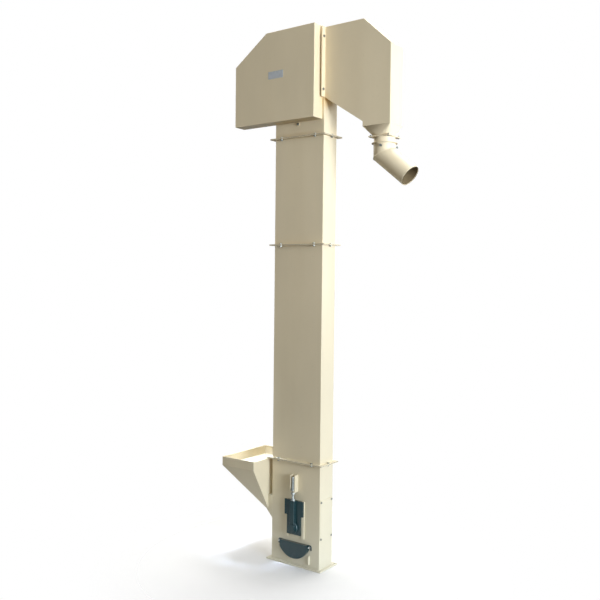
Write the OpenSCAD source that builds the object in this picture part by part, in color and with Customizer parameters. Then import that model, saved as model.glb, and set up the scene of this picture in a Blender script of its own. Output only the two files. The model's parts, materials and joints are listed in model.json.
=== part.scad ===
// Bucket elevator for grain: boot with feed hopper, two trunk sections, head with discharge hood,
// belt drive and swivelling spout. Units are millimetres, +Z is up, +X is the discharge side and
// -Y is the front, where the drive guard and the visible take-up are. The origin lies on the floor,
// in the middle of the trunk.

/* [Casing] */
// Width of the casing across the two legs of the belt
casing_w = 450; // [430:5:520]
// Depth of the casing from front to back
casing_d = 170; // [165:5:230]
// Sheet thickness of the trunk, the head and the hood
sheet_t = 2; // [1.5:0.5:3]
// Height of the boot casing above its base plate
boot_h = 783; // [770:1:860]
// Height of the lower trunk section
lower_h = 1648; // [900:2:2400]
// Height of the upper trunk section
upper_h = 808; // [500:2:1600]
// Height of the head casing
head_h = 780; // [770:5:860]
// Width of a flange outside its casing
flange_leg = 30; // [28:1:36]
// Thickness of one flange
flange_t = 4; // [3:0.5:8]
// Thickness of a flange gasket
gasket_t = 2; // [1:0.5:4]
// Diameter of the flange bolts
bolt_d = 10; // [8:1:12]
// Distance of a flange bolt from the middle of a wide side
bolt_x = 155; // [120:5:170]

/* [Base] */
// Thickness of the base plate
base_t = 10; // [8:1:16]
// Diameter of the anchor holes
anchor_d = 14; // [12:1:16]

/* [Boot] */
// Sheet thickness of the boot
boot_t = 3; // [2:0.5:4]
// Height of the tail shaft above the floor
tail_z = 290; // [285:1:300]
// Inner radius of the curved boot floor
floor_r = 212; // [208:1:213]
// Distance of a side panel bolt from the middle of the panel
panel_bolt_y = 69; // [64:1:72]
// Depth of the lower side panel bolts below the tail shaft
panel_low = 54; // [52:1:70]
// Height of the upper side panel bolts above the floor
panel_high_z = 513; // [480:1:540]
// Edge of the side panel beyond its bolts
panel_edge = 12; // [11:1:14]

/* [Take-up] */
// Travel of the tail shaft
takeup_travel = 30; // [15:1:32]
// Width of the bearing housing between the guide rails
housing_w = 126; // [110:2:130]
// Width of the housing across its wings
wing_w = 172; // [164:2:176]
// Height of the wings
wing_h = 116; // [90:2:140]
// Height of the housing above the shaft
housing_up = 210; // [190:2:214]
// Height of the housing below the shaft
housing_down = 52; // [52:1:60]
// Thickness of the housing plate
housing_t = 22; // [20:1:28]
// Width of a guide rail
rail_w = 24; // [16:1:26]
// Thickness of a guide rail
rail_t = 9; // [6:1:10]
// Diameter of the threaded rod
rod_d = 20; // [16:1:22]
// Inner width of the channel that holds the rod
channel_w = 35; // [30:1:42]
// Height of the channel bracket
channel_h = 130; // [100:2:136]

/* [Clean-out] */
// Radius of the dished clean-out cover
cover_r = 150; // [140:1:152]
// Depth of the cover's centre below the tail shaft
cover_drop = 85; // [80:1:90]
// Depth of the cover's straight top edge below the tail shaft
cover_top = 112; // [110:1:124]
// Depth of the dish
cover_d = 26; // [14:1:34]
// Distance of a cover stud from the middle
stud_x = 141; // [140:1:146]
// Depth of the cover studs below the tail shaft
stud_drop = 127; // [126:1:134]
// Sheet thickness of the cover
cover_t = 4; // [3:0.5:5]
// Travel of the cover until its ears leave the studs
cover_travel = 28; // [24:1:29]

/* [Hopper] */
// Length of the hopper's mouth away from the boot
hopper_l = 319; // [240:1:380]
// Width of the hopper's mouth from front to back
hopper_w = 536; // [420:2:620]
// Height of the hopper's rim above the floor
hopper_z = 781; // [760:1:785]
// Height of the upright rim band
rim_h = 68; // [40:1:90]
// Gap between the hopper and the boot
hopper_gap = 40; // [38:1:60]
// Height of the throat's top above the floor
throat_top = 496; // [470:1:520]
// Height where the funnel ends and the throat starts
throat_mid = 386; // [370:1:400]
// Lowest height of the throat, at the boot
throat_low = 320; // [312:1:335]

/* [Head] */
// Height of the head shaft above the head casing's lower edge
shaft_up = 445; // [430:5:470]
// Corner cut of the head casing
head_cut = 120; // [60:5:140]
// Width of the upright joint flanges
joint_leg = 40; // [34:1:50]
// Length of the discharge hood
hood_l = 555; // [520:5:600]
// Height of the hood's outer side above the head casing's lower edge
hood_side = 575; // [540:5:620]
// Length of the flat top of the hood
hood_flat = 331; // [280:1:380]
// Height of the hood's opening to the neck above the head casing's lower edge
slope_up = 269; // [240:1:280]
// Height of the slope's lower end above the head casing's lower edge
slope_low = 54; // [40:1:70]
// Height of the hood's outlet above the head casing's lower edge
outlet_up = 20; // [15:1:30]
// Width of the hood's outlet
outlet_w = 223; // [210:1:250]

/* [Spout] */
// Distance of the spout's axis from the trunk's axis
spout_x = 690; // [684:1:694]
// Outer diameter of the fixed stub
stub_d = 152; // [140:1:156]
// Sheet thickness of the spout
spout_t = 2; // [1.5:0.5:3]
// Radial gap between the stub and the elbow
spout_gap = 0.5; // [0.4:0.1:1]
// Height of the transition between the hood and the stub
transition_h = 76; // [60:1:110]
// Side of the square outlet flange
outlet_side = 170; // [168:1:180]
// Outer diameter of the elbow's ring
ring_d = 185; // [175:1:200]
// Distance of the elbow's ring below the outlet flange
ring_drop = 47; // [30:1:60]
// Height of the elbow's upright part below its ring
collar_h = 77; // [74:1:110]
// Slope of the outlet below the horizontal, in degrees
elbow_slope = 39; // [30:1:60]
// Length of the elbow's sloping part along its axis
elbow_l = 267; // [200:1:400]
// Depth of the socket at the elbow's lower end
socket_l = 60; // [40:1:90]
// Step between the socket's bore and the pipe's bore
socket_step = 0.5; // [0.3:0.1:1]

/* [Belt and buckets] */
// Radius of the pulleys over their faces
pulley_r = 110; // [100:1:112]
// Width of the pulleys
pulley_w = 146; // [130:2:150]
// Thickness of the belt
belt_t = 6; // [4:1:8]
// Width of the belt and of the buckets
belt_w = 140; // [120:2:144]
// Reach of a bucket from the belt
bucket_out = 80; // [60:1:82]
// Height of a bucket's back
bucket_h = 92; // [70:1:110]
// Wall of a bucket
bucket_t = 3; // [2:0.5:4]
// Rough spacing of the buckets along the belt
bucket_pitch = 212; // [190:1:300]

/* [Guard] */
// Depth of the drive guard
guard_d = 105; // [100:1:130]
// Reach of the guard towards the motor
guard_left = 547; // [540:1:580]
// Gap between the guard and the upright joint flange
guard_side_gap = 15; // [4:1:20]
// Depth of the guard below the head shaft
guard_down = 334; // [240:2:360]
// Height of the guard above the head shaft
guard_up = 345; // [300:1:360]
// Length of the guard's corner cut
guard_cut_x = 304; // [200:2:330]
// Height of the guard's corner cut
guard_cut_z = 214; // [120:2:230]
// Sheet thickness of the guard
guard_t = 2; // [1.5:0.5:3]

/* [Drive] */
// Diameter of the head shaft
head_shaft_d = 45; // [40:1:50]
// Diameter of the tail shaft
tail_shaft_d = 35; // [30:1:38]
// Outer radius of the driven sheave
sheave_r = 178; // [150:1:180]
// Outer radius of the motor sheave
pinion_r = 48; // [40:1:56]
// Width of the sheaves
sheave_w = 44; // [42:1:50]
// Distance of the motor shaft from the head shaft, towards the left
motor_x = 430; // [410:1:440]
// Depth of the motor shaft below the head shaft
motor_drop = 60; // [30:1:80]
// Radius of the motor's body without fins
motor_r = 80; // [70:1:84]
// Length of the motor's finned body
motor_l = 180; // [150:2:220]
// Height of the motor shaft above its feet
motor_foot = 98; // [96:1:104]
// Diameter of the motor shaft
motor_shaft_d = 24; // [19:1:28]
// Length of the slots that set the belt tension
motor_slot = 30; // [14:1:36]

/* [Hidden] */

cream = [0.93, 0.86, 0.70];
zinc = [0.75, 0.77, 0.78];
teal = [0.12, 0.22, 0.24];
steel = [0.55, 0.56, 0.58];
black = [0.12, 0.12, 0.13];
motor_grey = [0.35, 0.42, 0.47];

// Half width and half depth of the casing, and the levels of the joints
hw = casing_w / 2;
hd = casing_d / 2;
boot_top = base_t + boot_h;
lower_z = boot_top + gasket_t;
lower_top = lower_z + lower_h;
upper_z = lower_top + gasket_t;
upper_top = upper_z + upper_h;
head_z0 = upper_top + gasket_t;
head_top = head_z0 + head_h;
head_z = head_z0 + shaft_up;

// Small distances by which a cut passes through the face that it opens
cut = 1;
// Clearance between a bolt and its hole
bolt_gap = 0.5;
// Gap between curved faces that move past each other
run_gap = 0.3;
// Radial gap of a shaft in its bearing
bearing_gap = 0.05;
// Gap between sliding flat faces
slide_gap = 0.5;

// Sizes of nuts and bolt heads as shares of the bolt diameter
head_share = 0.64;
nut_share = 0.8;
flats_share = 1.7;

function hex_r(d) = d * flats_share / 2 / cos(30);

// A polygon in X and Z, drawn out along Y from y0 to y1
module slab(y0, y1) {
    translate([0, y1, 0]) rotate([90, 0, 0]) linear_extrude(y1 - y0) children();
}

// A cylinder along Y from y0 to y1, centred at x and z
module rod_y(x, z, r, y0, y1, sides = 64) {
    translate([x, y0, z]) rotate([-90, 0, 0]) cylinder(r = r, h = y1 - y0, $fn = sides);
}

// A cylinder along X from x0 to x1, centred at y and z
module rod_x(y, z, r, x0, x1, sides = 48) {
    translate([x0, y, z]) rotate([0, 90, 0]) cylinder(r = r, h = x1 - x0, $fn = sides);
}

// The children, and their mirror image at the back
module front_and_back() {
    children();
    mirror([0, 1, 0]) children();
}

// A box from one corner to the other
module block(low, high) {
    translate(low) cube(high - low);
}

// A hexagon bolt with its nut: the head stands on z = 0 and the nut lies below the grip
module bolt(d, grip) {
    cylinder(r = hex_r(d), h = d * head_share, $fn = 6);
    translate([0, 0, -grip - d * (nut_share + 0.3)]) cylinder(d = d, h = grip + d * (nut_share + 0.3), $fn = 32);
    translate([0, 0, -grip - d * nut_share]) cylinder(r = hex_r(d), h = d * nut_share, $fn = 6);
}

// A hexagon head screw: the head stands on z = 0 and the shank reaches down by length
module screw(d, length) {
    cylinder(r = hex_r(d), h = d * head_share, $fn = 6);
    translate([0, 0, -length]) cylinder(d = d, h = length, $fn = 32);
}

// A nut with a washer on z = 0, around a stud that ends a little above it
module nut_on_washer(d) {
    difference() {
        union() {
            cylinder(r = d, h = 2, $fn = 48);
            translate([0, 0, 2]) cylinder(r = hex_r(d), h = d * nut_share, $fn = 6);
        }
        translate([0, 0, -cut]) cylinder(d = d, h = d + 2 + 2 * cut, $fn = 48);
    }
}

// Places of the bolts of one flange joint
flange_spots = [for (x = [-bolt_x, bolt_x], y = [-1, 1]) [x, y * (hd + flange_leg / 2)],
    [-hw - flange_leg / 2, 0], [hw + flange_leg / 2, 0]];

// Casing section: four walls with a folded flange at either end
module section(z0, h, t, low_flange, top_flange) {
    difference() {
        union() {
            block([-hw, -hd, z0], [hw, hd, z0 + h]);
            if (low_flange) flange_plate(z0, flange_t);
            if (top_flange) flange_plate(z0 + h - flange_t, flange_t);
        }
        block([-hw + t, -hd + t, z0 - cut], [hw - t, hd - t, z0 + h + cut]);
        if (low_flange) flange_holes(z0);
        if (top_flange) flange_holes(z0 + h - flange_t);
    }
}

module flange_plate(z, t) {
    block([-hw - flange_leg, -hd - flange_leg, z], [hw + flange_leg, hd + flange_leg, z + t]);
}

module flange_holes(z) {
    for (p = flange_spots) translate([p[0], p[1], z - cut])
        cylinder(d = bolt_d + 2 * bolt_gap, h = flange_t + gasket_t + 2 * cut, $fn = 32);
}

// Base: a flat ring with the four anchor holes at its corners
anchor_x = hw + flange_leg / 2;
anchor_y = hd + flange_leg / 2;

module base_frame() {
    color(cream) difference() {
        flange_plate(0, base_t);
        block([-hw + boot_t, -hd + boot_t, -cut], [hw - boot_t, hd - boot_t, base_t + cut]);
        for (x = [-anchor_x, anchor_x], y = [-anchor_y, anchor_y]) translate([x, y, -cut])
            cylinder(d = anchor_d, h = base_t + 2 * cut, $fn = 48);
    }
}

// Boot openings: shaft slots, clean-out, side access and inlet
slot_r = tail_shaft_d / 2 + 3;
cover_z = tail_z - cover_drop;
cover_top_z = tail_z - cover_top;
stud_z = tail_z - stud_drop;
clean_edge = 13;
stud_d = 10;
dish_gap = 2;
dish_x = stud_x - stud_d - dish_gap;
access_y = panel_bolt_y - 11;
panel_low_z = tail_z - panel_low;
access_low = panel_low_z + 14;
access_high = panel_high_z - 14;
lug_x = 134;

module shaft_slot(y0, y1) {
    rod_y(0, tail_z, slot_r, y0, y1);
    rod_y(0, tail_z + takeup_travel, slot_r, y0, y1);
    block([-slot_r, y0, tail_z], [slot_r, y1, tail_z + takeup_travel]);
}

// A disc around the cover's centre, cut off straight at the height top and at x = -w and x = w
module segment(r, w, top, y0, y1) {
    intersection() {
        rod_y(0, cover_z, r, y0, y1, 128);
        block([-w, y0, 0], [w, y1, top]);
    }
}

module boot_casing() {
    color(cream) difference() {
        union() {
            section(base_t, boot_h, boot_t, false, true);
            block([lug_x - 4, -hd - 14, base_t + 20], [lug_x + 4, -hd, base_t + 86]);
        }
        shaft_slot(-hd - cut, hd + cut);
        segment(cover_r - clean_edge, dish_x - clean_edge, cover_top_z - clean_edge / 2, -hd - cut, -hd + boot_t + cut);
        block([hw - boot_t - cut, -access_y, access_low], [hw + cut, access_y, access_high]);
        block([-hw - cut, -hd + boot_t, throat_low + boot_t], [-hw + boot_t + cut, hd - boot_t, throat_top - sheet_t]);
        for (x = [-stud_x, stud_x]) rod_y(x, stud_z, stud_d / 2, -hd - cut, -hd + boot_t + cut, 32);
        for (y = [-panel_bolt_y, panel_bolt_y], z = [panel_low_z, panel_high_z])
            rod_x(y, z, panel_bolt_d / 2, hw - boot_t - cut, hw + cut, 32);
    }
}

floor_drop = 44;
floor_edge = sqrt(floor_r * floor_r - floor_drop * floor_drop);

module boot_floor() {
    color(cream) {
        intersection() {
            difference() {
                rod_y(0, tail_z, floor_r + boot_t, -hd + boot_t, hd - boot_t, 128);
                rod_y(0, tail_z, floor_r, -hd, hd, 128);
            }
            block([-hw, -hd, 0], [hw, hd, tail_z - floor_drop]);
        }
        for (s = [0, 1]) mirror([s, 0, 0])
            block([floor_edge, -hd + boot_t, tail_z - floor_drop - boot_t], [hw - boot_t, hd - boot_t, tail_z - floor_drop]);
    }
}

// Side panel of the boot with its four bolts
panel_bolt_d = 8;
panel_t = 3;

module boot_side_panel() {
    color(cream) difference() {
        block([hw, -panel_bolt_y - panel_edge, panel_low_z - panel_edge],
              [hw + panel_t, panel_bolt_y + panel_edge, panel_high_z + panel_edge]);
        for (y = [-panel_bolt_y, panel_bolt_y], z = [panel_low_z, panel_high_z])
            rod_x(y, z, panel_bolt_d / 2, hw - cut, hw + panel_t + cut, 32);
    }
}

module side_panel_bolts() {
    color(zinc) for (y = [-panel_bolt_y, panel_bolt_y], z = [panel_low_z, panel_high_z])
        translate([hw + panel_t, y, z]) rotate([0, 90, 0]) screw(panel_bolt_d, panel_t + boot_t + 4);
}

// Take-up: rails on the boot wall, a housing that slides between them, a rod in a channel bracket
rail_gap = slide_gap;
housing_top = tail_z + housing_up;
housing_y = -hd - slide_gap - housing_t;
wing_y = -hd - rail_t - slide_gap;
rod_y0 = -hd - 32;
lock_nut_h = 16;
lock_gap = 3;
bridge_z = housing_top + lock_nut_h + takeup_travel + lock_gap + lock_nut_h;
bridge_t = 10;
channel_t = 5;
boss_r = 32;
boss_l = 28;
cap_t = 4;
cap_gap = 6;
insert_r = 26;

module takeup_rails() {
    color(cream) front_and_back() for (s = [-1, 1]) translate([s * (housing_w / 2 + rail_gap + rail_w / 2), 0, 0])
        block([-rail_w / 2, -hd - rail_t, tail_z - housing_down - 26], [rail_w / 2, -hd, housing_top]);
}

module takeup_brackets() {
    color(cream) front_and_back() difference() {
        block([-channel_w / 2 - channel_t, rod_y0 - rod_d / 2, bridge_z],
              [channel_w / 2 + channel_t, -hd, bridge_z + channel_h]);
        block([-channel_w / 2, rod_y0 - rod_d / 2 - cut, bridge_z + bridge_t],
              [channel_w / 2, -hd - channel_t, bridge_z + channel_h + cut]);
        translate([0, rod_y0, bridge_z - cut]) cylinder(d = rod_d + 2, h = bridge_t + 2 * cut, $fn = 48);
    }
}

module takeup_nut(z) {
    translate([0, rod_y0, z]) difference() {
        cylinder(r = hex_r(rod_d * 0.85), h = lock_nut_h, $fn = 6);
        translate([0, 0, -cut]) cylinder(r = rod_d / 2 + bearing_gap, h = lock_nut_h + 2 * cut, $fn = 64);
    }
}

module takeup_nuts() {
    color(zinc) front_and_back() {
        takeup_nut(bridge_z - lock_nut_h);
        takeup_nut(bridge_z + bridge_t);
    }
}

module takeup_housings() {
    color(teal) front_and_back() difference() {
        union() {
            block([-housing_w / 2, housing_y, tail_z - housing_down], [housing_w / 2, -hd - slide_gap, housing_top]);
            block([-wing_w / 2, housing_y, housing_top - wing_h], [wing_w / 2, wing_y, housing_top]);
            block([-rod_d, rod_y0 - rod_d / 2 - 4, tail_z], [rod_d, housing_y, housing_top]);
            rod_y(0, tail_z, boss_r + 12, housing_y - boss_l / 2, housing_y);
            rod_y(0, tail_z, boss_r, housing_y - boss_l - cap_t, housing_y);
        }
        rod_y(0, tail_z, insert_r, housing_y - boss_l, -hd);
        translate([0, rod_y0, tail_z + boss_r + 30]) cylinder(d = rod_d, h = housing_up, $fn = 64);
    }
}

module takeup_inserts() {
    color(steel) front_and_back() difference() {
        rod_y(0, tail_z, insert_r, housing_y - boss_l + cap_gap, housing_y + housing_t);
        rod_y(0, tail_z, tail_shaft_d / 2 + bearing_gap, housing_y - boss_l, -hd);
    }
}

module takeup_rods() {
    color(zinc) front_and_back() {
        translate([0, rod_y0, tail_z + boss_r + 30]) {
            cylinder(d = rod_d, h = bridge_z + channel_h - tail_z - boss_r - 30 - takeup_travel / 2, $fn = 64);
        }
    }
}

module takeup_lock_nuts() {
    color(zinc) front_and_back() translate([0, rod_y0, housing_top]) difference() {
        cylinder(r = hex_r(rod_d * 0.85), h = lock_nut_h, $fn = 6);
        translate([0, 0, -cut]) cylinder(d = rod_d, h = lock_nut_h + 2 * cut, $fn = 64);
    }
}

// Clean-out cover: a dished half disc with two hooked ears on studs
stud_l = 24;
ear_w = 32;
ear_low = 24;
ear_in = dish_x - 9;

module cleanout_studs() {
    color(zinc) for (x = [-stud_x, stud_x]) rod_y(x, stud_z, stud_d / 2, -hd - stud_l, -hd + boot_t, 32);
}

module cleanout_nuts() {
    color(zinc) for (x = [-stud_x, stud_x]) translate([x, -hd - slide_gap - cover_t - run_gap, stud_z])
        rotate([90, 0, 0]) nut_on_washer(stud_d);
}

module cleanout_cover() {
    y1 = -hd - slide_gap;
    y0 = y1 - cover_t;
    color(teal) difference() {
        union() {
            segment(cover_r, dish_x, cover_top_z, y1 - cover_d, y1);
            for (s = [-1, 1]) {
                rod_y(s * stud_x, stud_z, ear_w / 2, y0, y1);
                block([s * stud_x - ear_w / 2, y0, stud_z - ear_low], [s * stud_x + ear_w / 2, y1, stud_z]);
                block([min(s * ear_in, s * stud_x), y0, stud_z - ear_low],
                      [max(s * ear_in, s * stud_x), y1, stud_z + ear_w / 2]);
            }
        }
        segment(cover_r - cover_t, dish_x - cover_t, cover_top_z - cover_t, y1 - cover_d + cover_t, y1 + cut);
        for (s = [-1, 1]) {
            rod_y(s * stud_x, stud_z, stud_d / 2 + slide_gap, y0 - cut, y1 + cut);
            block([s * stud_x - stud_d / 2 - slide_gap, y0 - cut, stud_z - ear_low - cut],
                  [s * stud_x + stud_d / 2 + slide_gap, y1 + cut, stud_z]);
        }
    }
}

// Feed hopper: upright rim band, funnel and a throat into the boot
hopper_x1 = -hw - hopper_gap;
hopper_x0 = hopper_x1 - hopper_l;
throat_x = hopper_x1 - 20;
lip = 1;

module funnel(t) {
    hull() {
        block([hopper_x0 + t, -hopper_w / 2 + t, hopper_z - rim_h - lip], [hopper_x1 - t, hopper_w / 2 - t, hopper_z - rim_h]);
        block([throat_x + t, -hd + t, throat_mid], [hopper_x1 - t, hd - t, throat_mid + lip]);
    }
}

module feed_hopper() {
    t = sheet_t;
    color(cream) difference() {
        union() {
            funnel(0);
            block([hopper_x0, -hopper_w / 2, hopper_z - rim_h], [hopper_x1, hopper_w / 2, hopper_z]);
        }
        funnel(t);
        block([hopper_x0 + t, -hopper_w / 2 + t, hopper_z - rim_h - lip],
              [hopper_x1 - t, hopper_w / 2 - t, hopper_z + cut]);
        block([throat_x + t, -hd + t, throat_mid - cut], [hopper_x1 - t, hd - t, throat_mid + lip]);
        block([hopper_x1 - t - cut, -hd + t, throat_mid - cut], [hopper_x1 + cut, hd - t, throat_top - t]);
    }
}

module hopper_throat() {
    t = sheet_t;
    fall = throat_mid - throat_low;
    run = -hw - throat_x;
    drop = t * sqrt(fall * fall + run * run) / run;
    color(cream) difference() {
        slab(-hd, hd) polygon([[throat_x, throat_mid], [-hw, throat_low], [-hw, throat_top],
                               [hopper_x1, throat_top], [hopper_x1, throat_mid]]);
        slab(-hd + t, hd - t) polygon([[throat_x + t, throat_mid + cut], [throat_x + t, throat_mid + drop - t * fall / run],
                                       [-hw + cut, throat_low + drop - cut * fall / run], [-hw + cut, throat_top - t],
                                       [hopper_x1 - cut, throat_top - t], [hopper_x1 - cut, throat_mid + cut]]);
    }
}

// Trunk sections, gaskets and flange bolts
joint_levels = [boot_top, lower_top, upper_top];

module trunk_lower() {
    color(cream) section(lower_z, lower_h, sheet_t, true, true);
}

module trunk_upper() {
    color(cream) section(upper_z, upper_h, sheet_t, true, true);
}

module flange_gaskets() {
    color(black) for (z = joint_levels) difference() {
        flange_plate(z, gasket_t);
        block([-hw + boot_t, -hd + boot_t, z - cut], [hw - boot_t, hd - boot_t, z + gasket_t + cut]);
        flange_holes(z);
    }
}

module flange_bolts() {
    color(zinc) {
        for (z = joint_levels, p = flange_spots) translate([p[0], p[1], z + gasket_t + flange_t])
            bolt(bolt_d, gasket_t + 2 * flange_t);
        hood_joint_bolts();
    }
}

// Head casing: a neck and head box, open towards the hood above the slope
slope_z = head_z0 + slope_up;

module head_outline(t) {
    cut_in = t * (sqrt(2) - 1);
    polygon([[-hw + t, head_z0 - (t > 0 ? cut : 0)], [hw - t, head_z0 - (t > 0 ? cut : 0)],
             [hw - t, head_top - t], [-hw + head_cut + cut_in, head_top - t],
             [-hw + t, head_top - head_cut - cut_in]]);
}

module head_casing() {
    t = sheet_t;
    color(cream) difference() {
        union() {
            slab(-hd, hd) head_outline(0);
            flange_plate(head_z0, flange_t);
            front_and_back() block([hw - flange_t, -hd - joint_leg, slope_z], [hw, -hd, head_top]);
        }
        slab(-hd + t, hd - t) head_outline(t);
        block([hw - t - cut, -hd + t, slope_z], [hw + cut, hd - t, head_top - t]);
        flange_holes(head_z0);
        front_and_back() joint_holes(hw - flange_t);
        rod_y(0, head_z, head_shaft_d / 2 + 6, -hd - cut, hd + cut);
        bearing_bolt_holes();
        neck_spot() translate([0, 0, -guard_t - sheet_t - cut]) cylinder(d = bolt_d, h = 12, $fn = 32);
        bracket_bolt_holes();
    }
}

// Upright joint between the head casing and the hood
joint_bolt_z = [slope_z + 54, head_top - 71];

module joint_holes(x) {
    for (z = joint_bolt_z) rod_x(-hd - joint_leg / 2, z, bolt_d / 2 + bolt_gap, x - cut, x + flange_t + cut, 32);
}

module hood_joint_bolts() {
    front_and_back() for (z = joint_bolt_z) translate([hw + flange_t, -hd - joint_leg / 2, z])
        rotate([0, 90, 0]) bolt(bolt_d, 2 * flange_t);
}

// Discharge hood
hood_x1 = hw + hood_l;
outlet_x0 = hood_x1 - outlet_w;
outlet_z = head_z0 + outlet_up;
slope_end_z = head_z0 + slope_low;
hood_side_z = head_z0 + hood_side;

module hood_outline() {
    polygon([[hw, slope_z], [outlet_x0, slope_end_z], [outlet_x0, outlet_z], [hood_x1, outlet_z],
             [hood_x1, hood_side_z], [hw + hood_flat, head_top], [hw, head_top]]);
}

module hood_inside() {
    t = sheet_t;
    run = outlet_x0 - hw;
    fall = slope_z - slope_end_z;
    lift = t * sqrt(run * run + fall * fall) / run;
    dx = hood_x1 - hw - hood_flat;
    dz = head_top - hood_side_z;
    length = sqrt(dx * dx + dz * dz);
    polygon([[hw - cut, slope_z + lift + cut * fall / run], [outlet_x0 + t, slope_end_z + lift - t * fall / run],
             [outlet_x0 + t, outlet_z - cut], [hood_x1 - t, outlet_z - cut],
             [hood_x1 - t, hood_side_z - t * (length - dz) / dx],
             [hw + hood_flat - t * (length - dx) / dz, head_top - t], [hw - cut, head_top - t]]);
}

module discharge_hood() {
    color(cream) difference() {
        union() {
            slab(-hd, hd) hood_outline();
            front_and_back() block([hw, -hd - joint_leg, slope_z], [hw + flange_t, -hd, head_top]);
        }
        slab(-hd + sheet_t, hd - sheet_t) hood_inside();
        front_and_back() joint_holes(hw);
    }
}

// Square-to-round transition, outlet flange and the fixed stub
flange_z = outlet_z - transition_h;
stub_r = stub_d / 2;

module transition_body(t) {
    hull() {
        block([outlet_x0 + t, -hd + t, outlet_z - lip], [hood_x1 - t, hd - t, outlet_z]);
        translate([spout_x, 0, flange_z]) cylinder(r = stub_r - t, h = lip, $fn = 64);
    }
}

module spout_transition() {
    t = spout_t;
    color(cream) difference() {
        transition_body(0);
        transition_body(t);
        block([outlet_x0 + t, -hd + t, outlet_z - lip], [hood_x1 - t, hd - t, outlet_z + cut]);
        translate([spout_x, 0, flange_z - cut]) cylinder(r = stub_r - t, h = lip + cut, $fn = 64);
    }
}

outlet_bolt_d = 8;
outlet_bolt_s = outlet_side / 2 - 13;

module outlet_plate(z) {
    difference() {
        translate([spout_x, 0, 0])
            block([-outlet_side / 2, -outlet_side / 2, z], [outlet_side / 2, outlet_side / 2, z + flange_t]);
        translate([spout_x, 0, z - cut]) cylinder(r = stub_r - spout_t, h = flange_t + 2 * cut, $fn = 96);
        for (x = [-1, 1], y = [-1, 1]) translate([spout_x + x * outlet_bolt_s, y * outlet_bolt_s, z - cut])
            cylinder(d = outlet_bolt_d + 2 * bolt_gap, h = flange_t + 2 * cut, $fn = 32);
    }
}

module outlet_flange() {
    color(cream) outlet_plate(flange_z - flange_t);
}

stub_z = flange_z - 2 * flange_t;
elbow_r = stub_r + spout_gap;
elbow_out = elbow_r + spout_t;
ring_z = flange_z - ring_drop - flange_t;
stub_end = ring_z + flange_t - collar_h + elbow_r * tan((90 - elbow_slope) / 2) + 4;

module spout_stub() {
    color(cream) {
        outlet_plate(stub_z);
        translate([spout_x, 0, stub_end]) difference() {
            cylinder(r = stub_r, h = stub_z - stub_end, $fn = 96);
            translate([0, 0, -cut]) cylinder(r = stub_r - spout_t, h = stub_z - stub_end + 2 * cut, $fn = 96);
        }
    }
}

module outlet_bolts() {
    color(zinc) for (x = [-1, 1], y = [-1, 1])
        translate([spout_x + x * outlet_bolt_s, y * outlet_bolt_s, stub_z]) rotate([180, 0, 0])
            bolt(outlet_bolt_d, 2 * flange_t);
}

// Spout elbow: an upright collar and a sloping pipe, joined on a mitre
mitre_z = ring_z + flange_t - collar_h;
mitre_turn = (90 + elbow_slope) / 2;
screw_n = 3;
screw_turn = 42;
screw_d = 8;
screw_drop = 26;

module half_space(side) {
    translate([spout_x, 0, mitre_z]) rotate([0, mitre_turn, 0])
        translate([side > 0 ? 0 : -2 * elbow_l, -elbow_l, -2 * elbow_l]) cube([2 * elbow_l, 2 * elbow_l, 4 * elbow_l]);
}

module screw_spots() {
    for (i = [0:screw_n - 1]) translate([spout_x, 0, ring_z - screw_drop + flange_t])
        rotate([0, 0, screw_turn + i * 360 / screw_n]) children();
}

module spout_collar() {
    color(cream) difference() {
        union() {
            translate([spout_x, 0, mitre_z - elbow_l / 2]) cylinder(r = elbow_out, h = elbow_l / 2 + collar_h, $fn = 96);
            translate([spout_x, 0, ring_z]) cylinder(d = ring_d, h = flange_t, $fn = 96);
        }
        translate([spout_x, 0, mitre_z - elbow_l]) cylinder(r = elbow_r, h = elbow_l + collar_h + cut, $fn = 96);
        half_space(1);
        screw_spots() rotate([0, 90, 0]) cylinder(d = screw_d, h = elbow_out + 20, $fn = 32);
    }
}

module spout_pipe() {
    color(cream) difference() {
        translate([spout_x, 0, mitre_z]) rotate([0, 90 + elbow_slope, 0])
            translate([0, 0, -elbow_l / 2]) cylinder(r = elbow_out, h = 1.5 * elbow_l, $fn = 96);
        translate([spout_x, 0, mitre_z]) rotate([0, 90 + elbow_slope, 0])
            translate([0, 0, -elbow_l]) cylinder(r = elbow_r, h = 2 * elbow_l + cut, $fn = 96);
        translate([spout_x, 0, mitre_z]) rotate([0, 90 + elbow_slope, 0])
            translate([0, 0, elbow_l - socket_l]) cylinder(r = elbow_r + socket_step, h = socket_l + cut, $fn = 96);
        half_space(-1);
    }
}

module elbow_screws() {
    color(zinc) screw_spots() {
        translate([stub_r + run_gap, 0, 0]) rotate([0, 90, 0]) cylinder(d = screw_d, h = 16, $fn = 32);
        translate([elbow_out, 0, 0]) rotate([0, 90, 0]) cylinder(r = hex_r(screw_d), h = 6, $fn = 6);
        translate([stub_r + run_gap + 16, 0, 0]) rotate([0, 90, 0]) cylinder(r = hex_r(screw_d), h = 6, $fn = 6);
    }
}

// Drive guard: a box with a cut corner on a back plate
guard_y1 = -hd;
guard_y0 = guard_y1 - guard_t - guard_d;
guard_z0 = head_z - guard_down;
guard_z1 = head_z + guard_up;
guard_right = hw - flange_t - guard_side_gap;
guard_hole = 74;
shaft_hole = 30;
tab_t = 2;
tab_d = 26;
tab_w = 30;
guard_screw_d = 6;
guard_screw_y = guard_y1 - guard_t - tab_d / 2;
side_tabs = [for (share = [0.15, 0.5, 0.85]) guard_z0 + share * (guard_z1 - guard_cut_z - guard_z0)];
low_tabs = [for (share = [0.25, 0.75]) -guard_left + share * (guard_left - hw)];
neck_screw_x = -12;
neck_screw_z = guard_z0 - 14;
lug = 14;

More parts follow.
